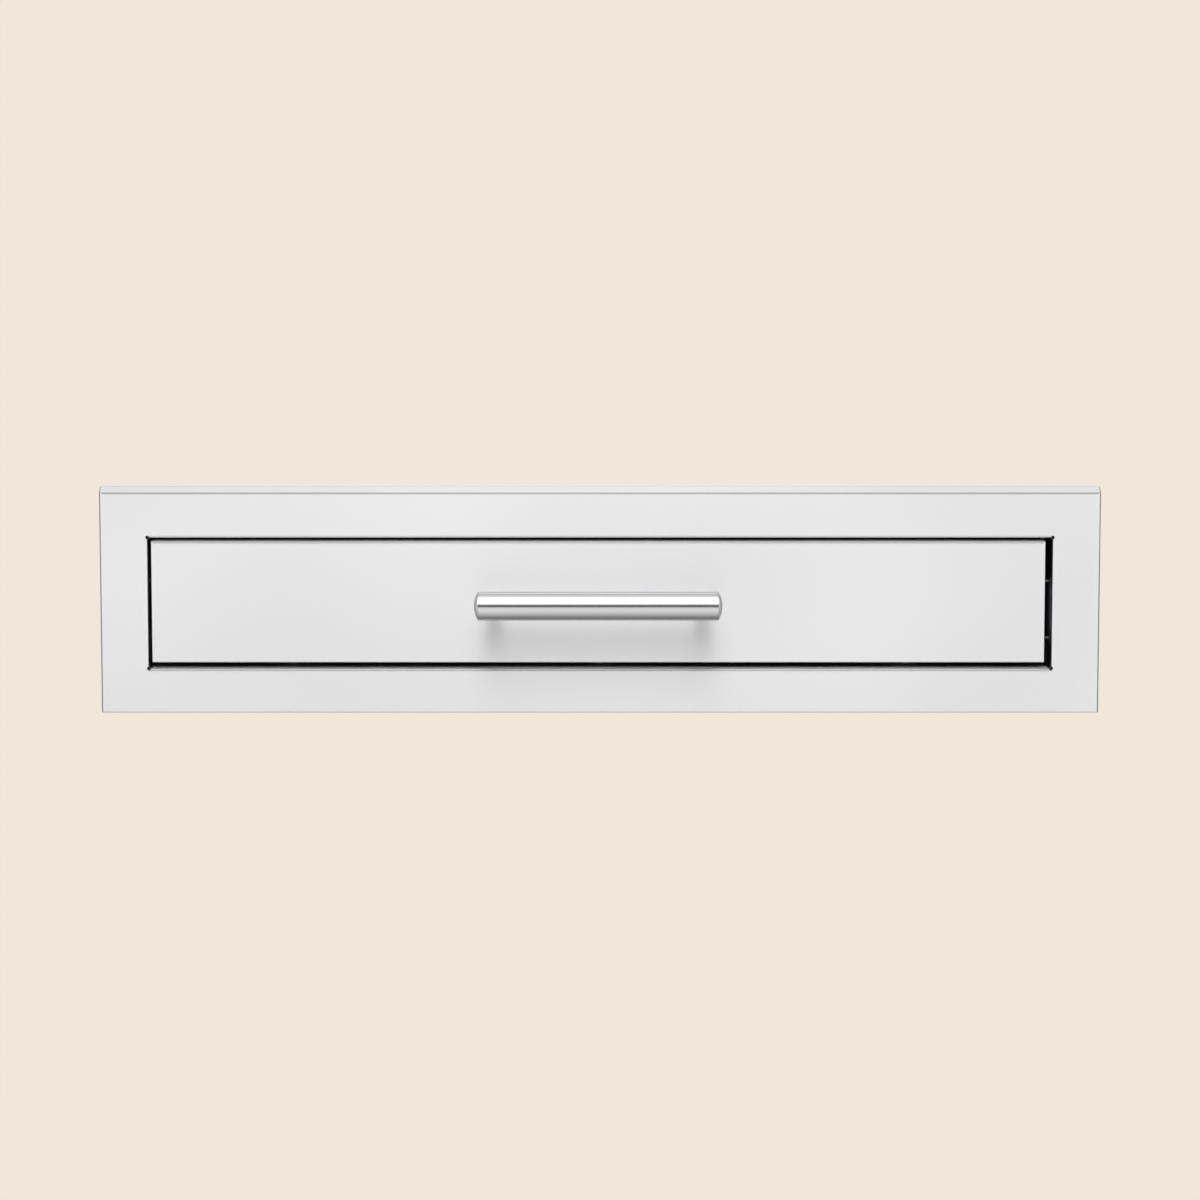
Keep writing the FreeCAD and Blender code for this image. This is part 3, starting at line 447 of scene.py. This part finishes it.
def faces_between(rings, around, closed=False):
    """Four sided faces between each ring of points and the next, all the way round. A point's
    number is its ring's number times the points in a ring, plus its place in the ring."""
    step, place = np.meshgrid(np.arange(rings if closed else rings - 1), np.arange(around), indexing="ij")
    after, beside = (step + 1) % rings, (place + 1) % around
    quads = np.stack([step * around + place, after * around + place,
                      after * around + beside, step * around + beside], -1)
    return quads.reshape(-1, 4).tolist()


def new_piece(name, points, faces, grain, folds, material, body):
    """A mesh piece with its place in its points, its grain map in metres along and across, and
    how much painted shade its folds get at each point. Points that lie on each other are joined."""
    mesh = bpy.data.meshes.new(name)
    mesh.from_pydata(points.tolist(), [], faces)
    corners = np.empty(len(mesh.loops), np.int32)
    mesh.loops.foreach_get("vertex_index", corners)
    mesh.uv_layers.new(name="grain").data.foreach_set("uv", grain[corners].ravel())
    # How much painted shade each corner gets on the folds.
    mesh.attributes.new("fold", "FLOAT", "CORNER").data.foreach_set("value", folds[corners])
    work = bmesh.new()
    work.from_mesh(mesh)
    bmesh.ops.remove_doubles(work, verts=work.verts, dist=joined_within)
    work.to_mesh(mesh)
    work.free()
    mesh.materials.append(material)
    mesh.shade_smooth()
    mesh.set_sharp_from_angle(angle=sharp_from)
    piece = bpy.data.objects.new(name, mesh)
    bpy.context.collection.objects.link(piece)
    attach(piece, body)
    return piece


def cut_from(piece, cutters):
    """Cuts solid pieces from a piece, keeps the result as its mesh, and clears the cutters away."""
    for cutter in cutters:
        change = piece.modifiers.new("cut", "BOOLEAN")
        change.operation = "DIFFERENCE"
        change.solver = "EXACT"
        change.object = cutter
    shaped = bpy.data.meshes.new_from_object(piece.evaluated_get(bpy.context.evaluated_depsgraph_get()))
    piece.modifiers.clear()
    piece.data = shaped
    for cutter in cutters:
        bpy.data.objects.remove(cutter)


def relief_cutter(x, z):
    """A plain round bar along Y, to cut a relief with: at each angle the cosine and the sine
    times the radius, at both ends."""
    angle = np.linspace(0, 2 * math.pi, relief_sides, endpoint=False)
    rim = np.stack([x + relief_radius * np.cos(angle), np.zeros(relief_sides),
                    z + relief_radius * np.sin(angle)], 1)
    points = np.concatenate([rim + (0, face_y - relief_depth, 0), rim + (0, face_y + relief_depth, 0)])
    ends = [list(range(relief_sides)), list(range(2 * relief_sides - 1, relief_sides - 1, -1))]
    mesh = bpy.data.meshes.new("cutter")
    mesh.from_pydata(points.tolist(), [], faces_between(2, relief_sides) + ends)
    cutter = bpy.data.objects.new("cutter", mesh)
    bpy.context.collection.objects.link(cutter)
    return cutter


class Rings:
    """The rings of a folded sheet in order along it, each with its length along the sheet from
    the face, and with how much painted shade its fold gets."""

    def __init__(self):
        self.points, self.grain, self.folds = [], [], []

    def add(self, made, side=0.0, high=None, up=0.0, upright=0.0, up_way=1):
        """Adds a ring with its length at its sides and at its top, and the painted shade on its fold
        where it faces up, or down for a way of -1, and where it is upright. In a corner the two run
        into each other with the squares of the way outwards."""
        points, ways = made
        reach = np.where(ways[:, 1] > 0, side if high is None else high, side)[:, None]
        self.points.append(points)
        self.grain.append(points[:, [0, 2]] + ways * reach)
        # Painted shade by the way the fold faces: up, down for a way of -1, and to the sides.
        self.folds.append(up * np.maximum(up_way * ways[:, 1], 0) ** 2 + upright * ways[:, 0] ** 2)

    def piece(self, name, material, body, closed=False):
        """The mesh piece of all the rings. The two end rings are filled unless it is closed."""
        around = len(self.points[0])
        faces = faces_between(len(self.points), around, closed)
        if not closed:
            last = (len(self.points) - 1) * around
            faces += [list(range(around)), list(range(last + around - 1, last - 1, -1))]
        return new_piece(name, np.concatenate(self.points), faces, np.concatenate(self.grain),
                         np.concatenate(self.folds), material, body)


def foot_inset(inset, sheet=0.0):
    """The inset of a fold at a piece's foot, where the fold is tighter than at its sides, by the
    foot's share. On the inner face only what is beyond the sheet's thickness shrinks."""
    return sheet + foot_share * (inset - sheet)


def frame_ring(inset, drip_inset, foot, depth, radius):
    """A ring of the frame's outer face, with its inset at the sides, at the top and at the foot."""
    return ring(outer_low + (inset, foot), outer_high - (inset, drip_inset), radius, depth)


def opening_ring(growth, depth):
    """A ring round the opening, grown outwards from it."""
    return ring(-opening_half - growth, opening_half + growth, opening_corner + growth, depth)


def frame_rings():
    """The frame's rings: up the jamb to the face, across it, round the outside, in along the lip,
    and back along the inner faces to the jamb's end."""
    sides, top = side_fold(), drip_fold()
    depths = np.unique(np.concatenate([sides[:, 1], top[:, 1]]))
    side_inset, side_length = at_depths(sides, depths)
    top_inset, top_length = at_depths(top, depths)
    inner_sides, inner_top = inner_face(sides), inner_face(top)
    inner_depths = np.unique(np.concatenate([inner_sides[:, 1], inner_top[:, 1]]))[::-1]
    inner_side_inset, inner_side_length = at_depths(inner_sides, inner_depths)
    inner_top_inset, inner_top_length = at_depths(inner_top, inner_depths)
    jamb = jamb_back - face_y
    drip_depth = drip_bend * (1 - math.cos(math.atan2(drip_run, drip_rise)))
    rings = Rings()
    # The jamb's sides and the sill's fold carry painted shade.
    rings.add(opening_ring(0, jamb_back), -jamb, upright=jamb_fold_shade)
    rings.add(opening_ring(0, face_y + opening_edge + flat_margin), -opening_edge - flat_margin,
              upright=jamb_fold_shade)
    for angle in arc(90, 0):
        growth = opening_edge * (1 - math.sin(angle))
        depth = face_y + opening_edge * (1 - math.cos(angle))
        rings.add(opening_ring(growth, depth), up=sill_fold_shade, up_way=-1)
    rings.add(opening_ring(opening_edge + flat_margin, face_y))
    rings.add(frame_ring(side_inset[0] + flat_margin, top_inset[0] + flat_margin,
                         foot_inset(side_inset[0]) + flat_margin, face_y, frame_corner))
    for i, depth in enumerate(depths):
        radius = max(frame_corner - side_inset[i], flat_margin)
        behind = depth - face_y
        # Painted shade on the top fold and slope, and on the outer part of the side folds.
        rings.add(frame_ring(side_inset[i], top_inset[i], foot_inset(side_inset[i]), depth, radius),
                  side_length[i], top_length[i],
                  top_fold_shade * (behind <= drip_depth) + slope_fold_shade * (drip_depth < behind <= drip_run),
                  upright_fold_shade * (frame_edge * upright_fold_shade_start < behind <= frame_edge))
    lip_lengths = side_length[-1] + wall_lip, top_length[-1] + wall_lip
    for depth in (0, -frame_sheet):
        rings.add(frame_ring(wall_lip, wall_lip, wall_lip, depth, wall_lip_corner), *lip_lengths)
    for i, depth in enumerate(inner_depths):
        foot = foot_inset(inner_side_inset[i], frame_sheet)
        rings.add(frame_ring(inner_side_inset[i], inner_top_inset[i], foot, depth, frame_edge),
                  inner_side_length[i], inner_top_length[i])
    rings.add(opening_ring(frame_sheet, face_y + frame_sheet))
    rings.add(opening_ring(frame_sheet, jamb_back), -jamb)
    return rings


# Brushed steel with painted shade on its folds.
frame_steel = brushed_steel("frame_steel_painted_fold_shade", steel_colour, brushed_spread, groove_depth,
                            brushed_directed)
face_frame = frame_rings().piece("face_frame_sheet", frame_steel, "housing", closed=True)
cut_from(face_frame, [relief_cutter(x, z) for x in (-opening_half[0], opening_half[0])
                      for z in (-opening_half[1], opening_half[1])])
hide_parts("face_frame")


# Corner welds
# A dab of weld joins the two jambs at each corner of the opening, behind the relief: a short
# bar with a domed front. Its near black colour is painted shade for the frame's dark hollow seen through
# the relief.
corner_weld_radius = 1.9 * MM
corner_weld_front, corner_weld_back = 2.2 * MM, 9.0 * MM
corner_weld_tip = 10


def rolled_metal(name, colour, roughness, lines, depth, clouds):
    """Metal with faint lines from rolling or brushing, and an uneven shine. It is given how many
    lines there are in a metre along X, Y and Z, how deep they are, and how uneven the tone is."""
    material = bpy.data.materials.new(name)
    material.use_nodes = True
    tree = material.node_tree
    shader = tree.nodes["Principled BSDF"]
    shader.inputs["Metallic"].default_value = 1
    place = tree.nodes.new("ShaderNodeTexCoord")
    tone = brushed_surface(tree, shader, place.outputs["Object"], colour, roughness, lines, depth, clouds)
    tree.links.new(tone, shader.inputs["Base Color"])
    return material


# Near black: painted shade seen through the relief.
corner_weld_shade_metal = rolled_metal("corner_weld_painted_shade", colour=(0.06, 0.06, 0.065), roughness=0.45,
                                 lines=(1400, 1400, 1400), depth=0.01 * MM, clouds=0.1)


def corner_weld(name, middle):
    """A dab of weld about a middle (x, z). Its domed front's radius grows with the sine of the
    turn from a small flat tip, and its depth as the cosine falls."""
    rings = Rings()
    for angle in arc(corner_weld_tip, 90):
        radius = corner_weld_radius * math.sin(angle)
        rings.add(ring(middle - radius, middle + radius, radius,
                       face_y + corner_weld_front + corner_weld_radius * (1 - math.cos(angle))))
    rings.add(ring(middle - corner_weld_radius, middle + corner_weld_radius, corner_weld_radius,
                   face_y + corner_weld_back))
    rings.piece(name, corner_weld_shade_metal, "housing")


for height, up in (("upper", 1), ("lower", -1)):
    for side, way in (("left", -1), ("right", 1)):
        corner_weld("corner_weld_%s_%s" % (height, side), opening_half * (way, up))


# Housing
# A box of plain rolled stainless sheet behind the frame: two sides, a top and a bottom with
# flanges lapped over them, and a back pan, held with blind rivets. The bottom has weep holes.
def dress(material, *names):
    """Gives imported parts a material. Their shapes stay as they are."""
    for name in names:
        for material_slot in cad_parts[name].material_slots:
            material_slot.material = material


housing_sheet = rolled_metal("housing_rolled_sheet", colour=(0.54, 0.54, 0.54), roughness=0.52,
                             lines=(900, 11, 900), depth=0.003 * MM, clouds=0.05)
rivet_aluminium = rolled_metal("rivet_aluminium", colour=(0.8, 0.8, 0.8), roughness=0.3,
                               lines=(1500, 1500, 1500), depth=0.004 * MM, clouds=0.06)
dress(housing_sheet, "housing_left_side", "housing_right_side", "housing_top", "housing_bottom",
      "housing_back")
dress(rivet_aluminium, "housing_rivets", "tray_rivets")


# Slides
# Two telescopic slides of bright zinc plated steel. Each has an outer channel screwed to the
# housing, a middle one, and an inner one screwed to the tray. A plastic stop closes the back.
zinc_plate = rolled_metal("zinc_plate", colour=(0.44, 0.46, 0.48), roughness=0.3,
                          lines=(700, 9, 700), depth=0.003 * MM, clouds=0.05)
stainless_fastener = rolled_metal("fastener_stainless", colour=(0.74, 0.74, 0.73), roughness=0.25,
                                  lines=(2200, 2200, 2200), depth=0.003 * MM, clouds=0.05)
mould_grain, mould_grain_detail, mould_grain_depth = 2600, 2, 0.03 * MM
mould_patches = 60
plastic_black = (0.018, 0.018, 0.02)
plastic_roughness, sheen_change = 0.48, 0.08
paler_patch = 1.5


def both_sides(*parts):
    """The names of parts that are on the left and on the right."""
    return [side + part for side in ("left_", "right_") for part in parts]


def moulded_plastic(name):
    """Black plastic from a spark eroded mould: a fine even grain, and a sheen and a tone that
    change in patches."""
    material = bpy.data.materials.new(name)
    material.use_nodes = True
    tree = material.node_tree
    shader = tree.nodes["Principled BSDF"]
    place = tree.nodes.new("ShaderNodeTexCoord")
    grain = tree.nodes.new("ShaderNodeTexNoise")
    grain.inputs["Scale"].default_value = mould_grain
    grain.inputs["Detail"].default_value = mould_grain_detail
    tree.links.new(place.outputs["Object"], grain.inputs["Vector"])
    bump = tree.nodes.new("ShaderNodeBump")
    bump.inputs["Distance"].default_value = mould_grain_depth
    tree.links.new(grain.outputs["Fac"], bump.inputs["Height"])
    tree.links.new(bump.outputs["Normal"], shader.inputs["Normal"])
    patch = tree.nodes.new("ShaderNodeTexNoise")
    patch.inputs["Scale"].default_value = mould_patches
    tree.links.new(place.outputs["Object"], patch.inputs["Vector"])
    sheen = tree.nodes.new("ShaderNodeMapRange")
    sheen.inputs["To Min"].default_value = plastic_roughness - sheen_change
    sheen.inputs["To Max"].default_value = plastic_roughness + sheen_change
    tree.links.new(patch.outputs["Fac"], sheen.inputs["Value"])
    tree.links.new(sheen.outputs["Result"], shader.inputs["Roughness"])
    shade = tree.nodes.new("ShaderNodeMix")
    shade.data_type = "RGBA"
    shade.inputs["A"].default_value = (*plastic_black, 1)
    shade.inputs["B"].default_value = (*[paler_patch * c for c in plastic_black], 1)
    tree.links.new(patch.outputs["Fac"], shade.inputs["Factor"])
    tree.links.new(shade.outputs["Result"], shader.inputs["Base Color"])
    return material


black_plastic = moulded_plastic("black_plastic_grained")
dress(zinc_plate, *both_sides("slide_outer", "slide_middle", "slide_inner"))
dress(stainless_fastener, "slide_screws", "slide_nuts", "inner_slide_screws")
dress(black_plastic, *both_sides("slide_stop"))


# Ball cages and balls
# A pressed strip of zinc plated steel holds each row of hardened steel balls apart. The cages
# roll between the channels, so each of them moves by the mean of the two that it joins.
cage_plate = rolled_metal("cage_zinc_plate", colour=(0.66, 0.68, 0.7), roughness=0.34,
                          lines=(1200, 20, 1200), depth=0.003 * MM, clouds=0.08)
ball_steel = rolled_metal("ball_hardened_steel", colour=(0.86, 0.86, 0.87), roughness=0.09,
                          lines=(3000, 3000, 3000), depth=0.002 * MM, clouds=0.03)
dress(cage_plate, *both_sides("outer_cage", "inner_cage"))
dress(ball_steel, *both_sides("outer_balls", "inner_balls"))


# Release levers
# A lever of grained black plastic on each inner channel, on a steel pin. Pressing it frees the
# drawer from its slides.
dress(black_plastic, *both_sides("release_lever"))
dress(stainless_fastener, "lever_pins")


# Tray
# The drawer's box: a brushed stainless sheet folded up at both sides, with a front and a back
# pan riveted between them. The grain runs from side to side and up the sides.
tray_colour, tray_roughness = (0.6, 0.6, 0.605), 0.48
tray_cross = rolled_metal("tray_brushed_cross", tray_colour, tray_roughness,
                          lines=(12, 2000, 12), depth=0.003 * MM, clouds=0.04)
tray_wide = rolled_metal("tray_brushed_wide", tray_colour, tray_roughness,
                         lines=(12, 2000, 2000), depth=0.003 * MM, clouds=0.04)
dress(tray_cross, "tray_body")
dress(tray_wide, "tray_front", "tray_back")


# Drawer front
# A pan of the same brushed sheet as the frame, folded back on four sides to hide its cut edges.
# A plain liner pan closes it from behind, and its clinch nuts take the screws from the tray.
front_low, front_high = (np.array(corner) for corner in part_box("drawer_front_skin"))
front_sheet = 1.2 * MM
front_edge, front_corner = 2.2 * MM, 1.0 * MM
front_upright_fold_shade_start = 1 / 3
first_fold_shade_share, full_fold_shade_turn = 0.5, math.pi / 4


def fold_shade_share(angle):
    """How much painted shade the front's fold gets after the sheet has turned by an angle: half at
    once, and all of it after a sixteenth of a turn."""
    return min(first_fold_shade_share + angle / full_fold_shade_turn, 1)


def front_ring(inset, foot, depth):
    """A ring of the front's pan, with its inset at the sides and the top, and at the foot."""
    radius = max(front_corner - inset, flat_margin)
    return ring(front_low[[0, 2]] + (inset, foot), front_high[[0, 2]] - inset, radius, depth)


def front_rings():
    """Rings of the front's pan, which is open at its back: across the face's rim, round the fold,
    along the sides, over the cut edge, and along the inner faces to the inner flat."""
    face, back = front_low[1], front_high[1]
    fold_end = front_edge * math.pi / 2
    folded_length = fold_end + back - face - front_edge
    inner_edge = front_edge - front_sheet
    rings = Rings()
    rings.add(front_ring(front_edge + flat_margin, foot_inset(front_edge) + flat_margin, face))
    for angle in arc(0, 90):
        inset, behind = front_edge * (1 - math.sin(angle)), front_edge * (1 - math.cos(angle))
        # Painted shade on the top fold and on the outer part of the side folds.
        rings.add(front_ring(inset, foot_inset(inset), face + behind), front_edge * angle,
                  up=top_fold_shade * fold_shade_share(angle),
                  upright=upright_fold_shade * (behind > front_edge * front_upright_fold_shade_start))
    rings.add(front_ring(0, 0, face + front_edge + flat_margin), fold_end + flat_margin)
    rings.add(front_ring(0, 0, back), folded_length)
    rings.add(front_ring(front_sheet, front_sheet, back), folded_length)
    for angle in arc(90, 0):
        inset = front_sheet + inner_edge * (1 - math.sin(angle))
        depth = face + front_sheet + inner_edge * (1 - math.cos(angle))
        rings.add(front_ring(inset, foot_inset(inset, front_sheet), depth), front_edge * angle)
    return rings


# Brushed steel with painted shade on its folds, as on the frame.
front_steel = brushed_steel("front_steel_painted_fold_shade", steel_colour, brushed_spread, groove_depth,
                            brushed_directed)
drawer_front = front_rings().piece("drawer_front_sheet", front_steel, "drawer")
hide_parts("drawer_front_skin")
liner_sheet = rolled_metal("liner_rolled_sheet", colour=(0.6, 0.6, 0.605), roughness=0.34,
                           lines=(11, 900, 900), depth=0.003 * MM, clouds=0.04)
dress(liner_sheet, "drawer_front_liner", "handle_backing_plate", "handle_spacers")
dress(stainless_fastener, "front_screws", "front_washers", "front_clinch_nuts")


# Handle tube
# A round tube of stainless steel, satin brushed along its length and cut square, with the outer
# edges of its ends broken. It is carried by two posts.
tube_low, tube_high = (np.array(corner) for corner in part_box("handle_tube"))
tube_radius = min(tube_high[1:] - tube_low[1:]) / 2
tube_middle = (tube_low + tube_high) / 2
left_end, right_end = tube_low[0], tube_high[0]
tube_wall = 1.5 * MM
tube_break = 0.25 * MM
bore = tube_radius - tube_wall
turning_steps = 96
handle_colour, handle_edge_tint = (0.765, 0.76, 0.77), (0.35, 0.35, 0.35)
handle_spread, handle_groove_depth = 0.11, 0.002 * MM

satin_steel = brushed_steel("handle_satin_steel", handle_colour, handle_spread, handle_groove_depth)
satin_shader = satin_steel.node_tree.nodes["Principled BSDF"]
satin_shader.inputs["Specular Tint"].default_value = (*handle_edge_tint, 1)


def turned_on_x(name, profile, closed=False):
    """A piece turned about the tube's axis: each (x, radius) of the profile becomes a circle. Its
    grain runs along the axis. Where the radius is zero the circle is one point."""
    angle = np.linspace(0, 2 * math.pi, turning_steps, endpoint=False)
    x, radius = np.array(profile).T[:, :, None]
    points = np.stack([x + 0 * angle, tube_middle[1] - radius * np.cos(angle),
                       tube_middle[2] + radius * np.sin(angle)], -1)
    grain = np.stack([x + 0 * angle, 0 * x + angle * tube_radius], -1)
    return new_piece(name, points.reshape(-1, 3), faces_between(len(profile), turning_steps, closed),
                     grain.reshape(-1, 2), np.zeros(x.size * turning_steps), satin_steel, "drawer")


handle_tube = turned_on_x("handle_tube_satin", [
    (left_end, bore), (left_end, tube_radius - tube_break), (left_end + tube_break, tube_radius),
    (right_end - tube_break, tube_radius), (right_end, tube_radius - tube_break), (right_end, bore)],
    closed=True)
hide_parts("handle_tube")


# Domed plugs
# A turned plug of the same satin steel is pressed into each end of the tube, and closes it with a
# shallow dome.
dome_height, dome_rings = 3.2 * MM, 14
dome_rim, rim_turn, rim_steps = 0.45 * MM, 60, 4
rim_outwards = 0.8
spigot_length, spigot_gap = 8 * MM, 0.1 * MM


def dome_profile(end, way):
    """Half outline of a plug: a shallow dome whose height falls with the square of the radius,
    a rounded rim, and a spigot in the tube. It runs from its left to its right."""
    rim = tube_radius - dome_rim
    radius = np.linspace(0, rim, dome_rings)
    height = dome_height - (dome_height - dome_rim) * (radius / rim) ** 2
    outline = [(end + way * h, r) for h, r in zip(height, radius)]
    outline += [(end + way * dome_rim * math.sin(a), rim + rim_outwards * dome_rim * math.cos(a))
                for a in arc(rim_turn, 0, rim_steps)]
    outline += [(end, bore - spigot_gap), (end - way * spigot_length, bore - spigot_gap),
                (end - way * spigot_length, 0)]
    return outline if way < 0 else outline[::-1]


for side, end, way in (("left", left_end, -1), ("right", right_end, 1)):
    plug = turned_on_x("handle_%s_dome" % side, dome_profile(end, way))
    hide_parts("handle_%s_cap" % side)


# Posts and their welds
# Two turned steel posts carry the tube. Each is hollowed at one end to fit the tube and welded to
# it all round, and a screw through the drawer front holds it from inside.
post_radius, post_break = 6.0 * MM, 0.5 * MM
post_end_rings, post_break_steps = 6, 4
saddle_gap = 0.02 * MM
post_steel = brushed_steel("post_turned_steel", colour=(0.74, 0.74, 0.745), roughness=0.5,
                           depth=0.002 * MM)
bead_radius = 0.9 * MM
bead_ripples, bead_ripple = 34, 0.12 * MM
bead_sides, bead_steps = 10, 340
weld_metal = rolled_metal("weld_ground_steel", colour=(0.56, 0.55, 0.54), roughness=0.36,
                          lines=(1400, 1400, 1400), depth=0.01 * MM, clouds=0.1)


def saddle_depth(z):
    """The depth of the tube's back surface at a height, by the circle of its section."""
    return tube_middle[1] + np.sqrt(tube_radius ** 2 - (z - tube_middle[2]) ** 2)


def handle_post(side):
    """A post from the tube's back to the drawer front, turned about a line along Y. The rings of
    its end lie on the tube, and those of its foot go round its broken edge. Its grain runs
    round it. Gives the post and its middle as (x, z)."""
    low, high = (np.array(corner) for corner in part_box("handle_%s_post" % side))
    middle = ((low + high) / 2)[[0, 2]]
    foot = high[1]
    angle = np.linspace(0, 2 * math.pi, turning_steps, endpoint=False)
    end_radii = np.linspace(0, post_radius, post_end_rings)[:, None] + 0 * angle
    end_depths = saddle_depth(middle[1] + end_radii * np.sin(angle)) + saddle_gap
    edge = arc(0, 90, post_break_steps)
    foot_radii = np.concatenate([post_radius - post_break * (1 - np.cos(edge)), [0]])[:, None] + 0 * angle
    foot_depths = np.concatenate([foot - post_break * (1 - np.sin(edge)), [foot]])[:, None] + 0 * angle
    radii = np.concatenate([end_radii, foot_radii])
    depths = np.concatenate([end_depths, foot_depths])
    points = np.stack([middle[0] + radii * np.cos(angle), depths, middle[1] + radii * np.sin(angle)], -1)
    grain = np.stack([angle * post_radius + 0 * depths, depths], -1)
    post = new_piece("handle_%s_post_turned" % side, points.reshape(-1, 3),
                     faces_between(len(radii), turning_steps), grain.reshape(-1, 2),
                     np.zeros(radii.size), post_steel, "drawer")
    return post, middle


def weld_bead(name, middle):
    """A bead along the line where a post meets the tube. Small ripples run along it, one for
    each pulse of the torch: the bead's radius swells with the sine of the place."""
    along = np.linspace(0, 2 * math.pi, bead_steps, endpoint=False)[:, None]
    around = np.linspace(0, 2 * math.pi, bead_sides, endpoint=False)
    radius = bead_radius + bead_ripple * np.sin(bead_ripples * along)
    out = post_radius + radius * np.cos(around)
    z = middle[1] + out * np.sin(along)
    depth = saddle_depth(middle[1] + post_radius * np.sin(along)) + radius * np.sin(around)
    points = np.stack([middle[0] + out * np.cos(along), depth, z], -1)
    grain = np.stack([along * post_radius + 0 * z, around * bead_radius + 0 * z], -1)
    bead = new_piece(name, points.reshape(-1, 3), faces_between(bead_steps, bead_sides, closed=True),
                     grain.reshape(-1, 2), np.zeros(z.size), weld_metal, "drawer")


for side in ("left", "right"):
    post, post_middle = handle_post(side)
    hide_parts("handle_%s_post" % side)
    weld_bead("handle_%s_weld" % side, post_middle)

dress(stainless_fastener, "handle_screws", "handle_washers")
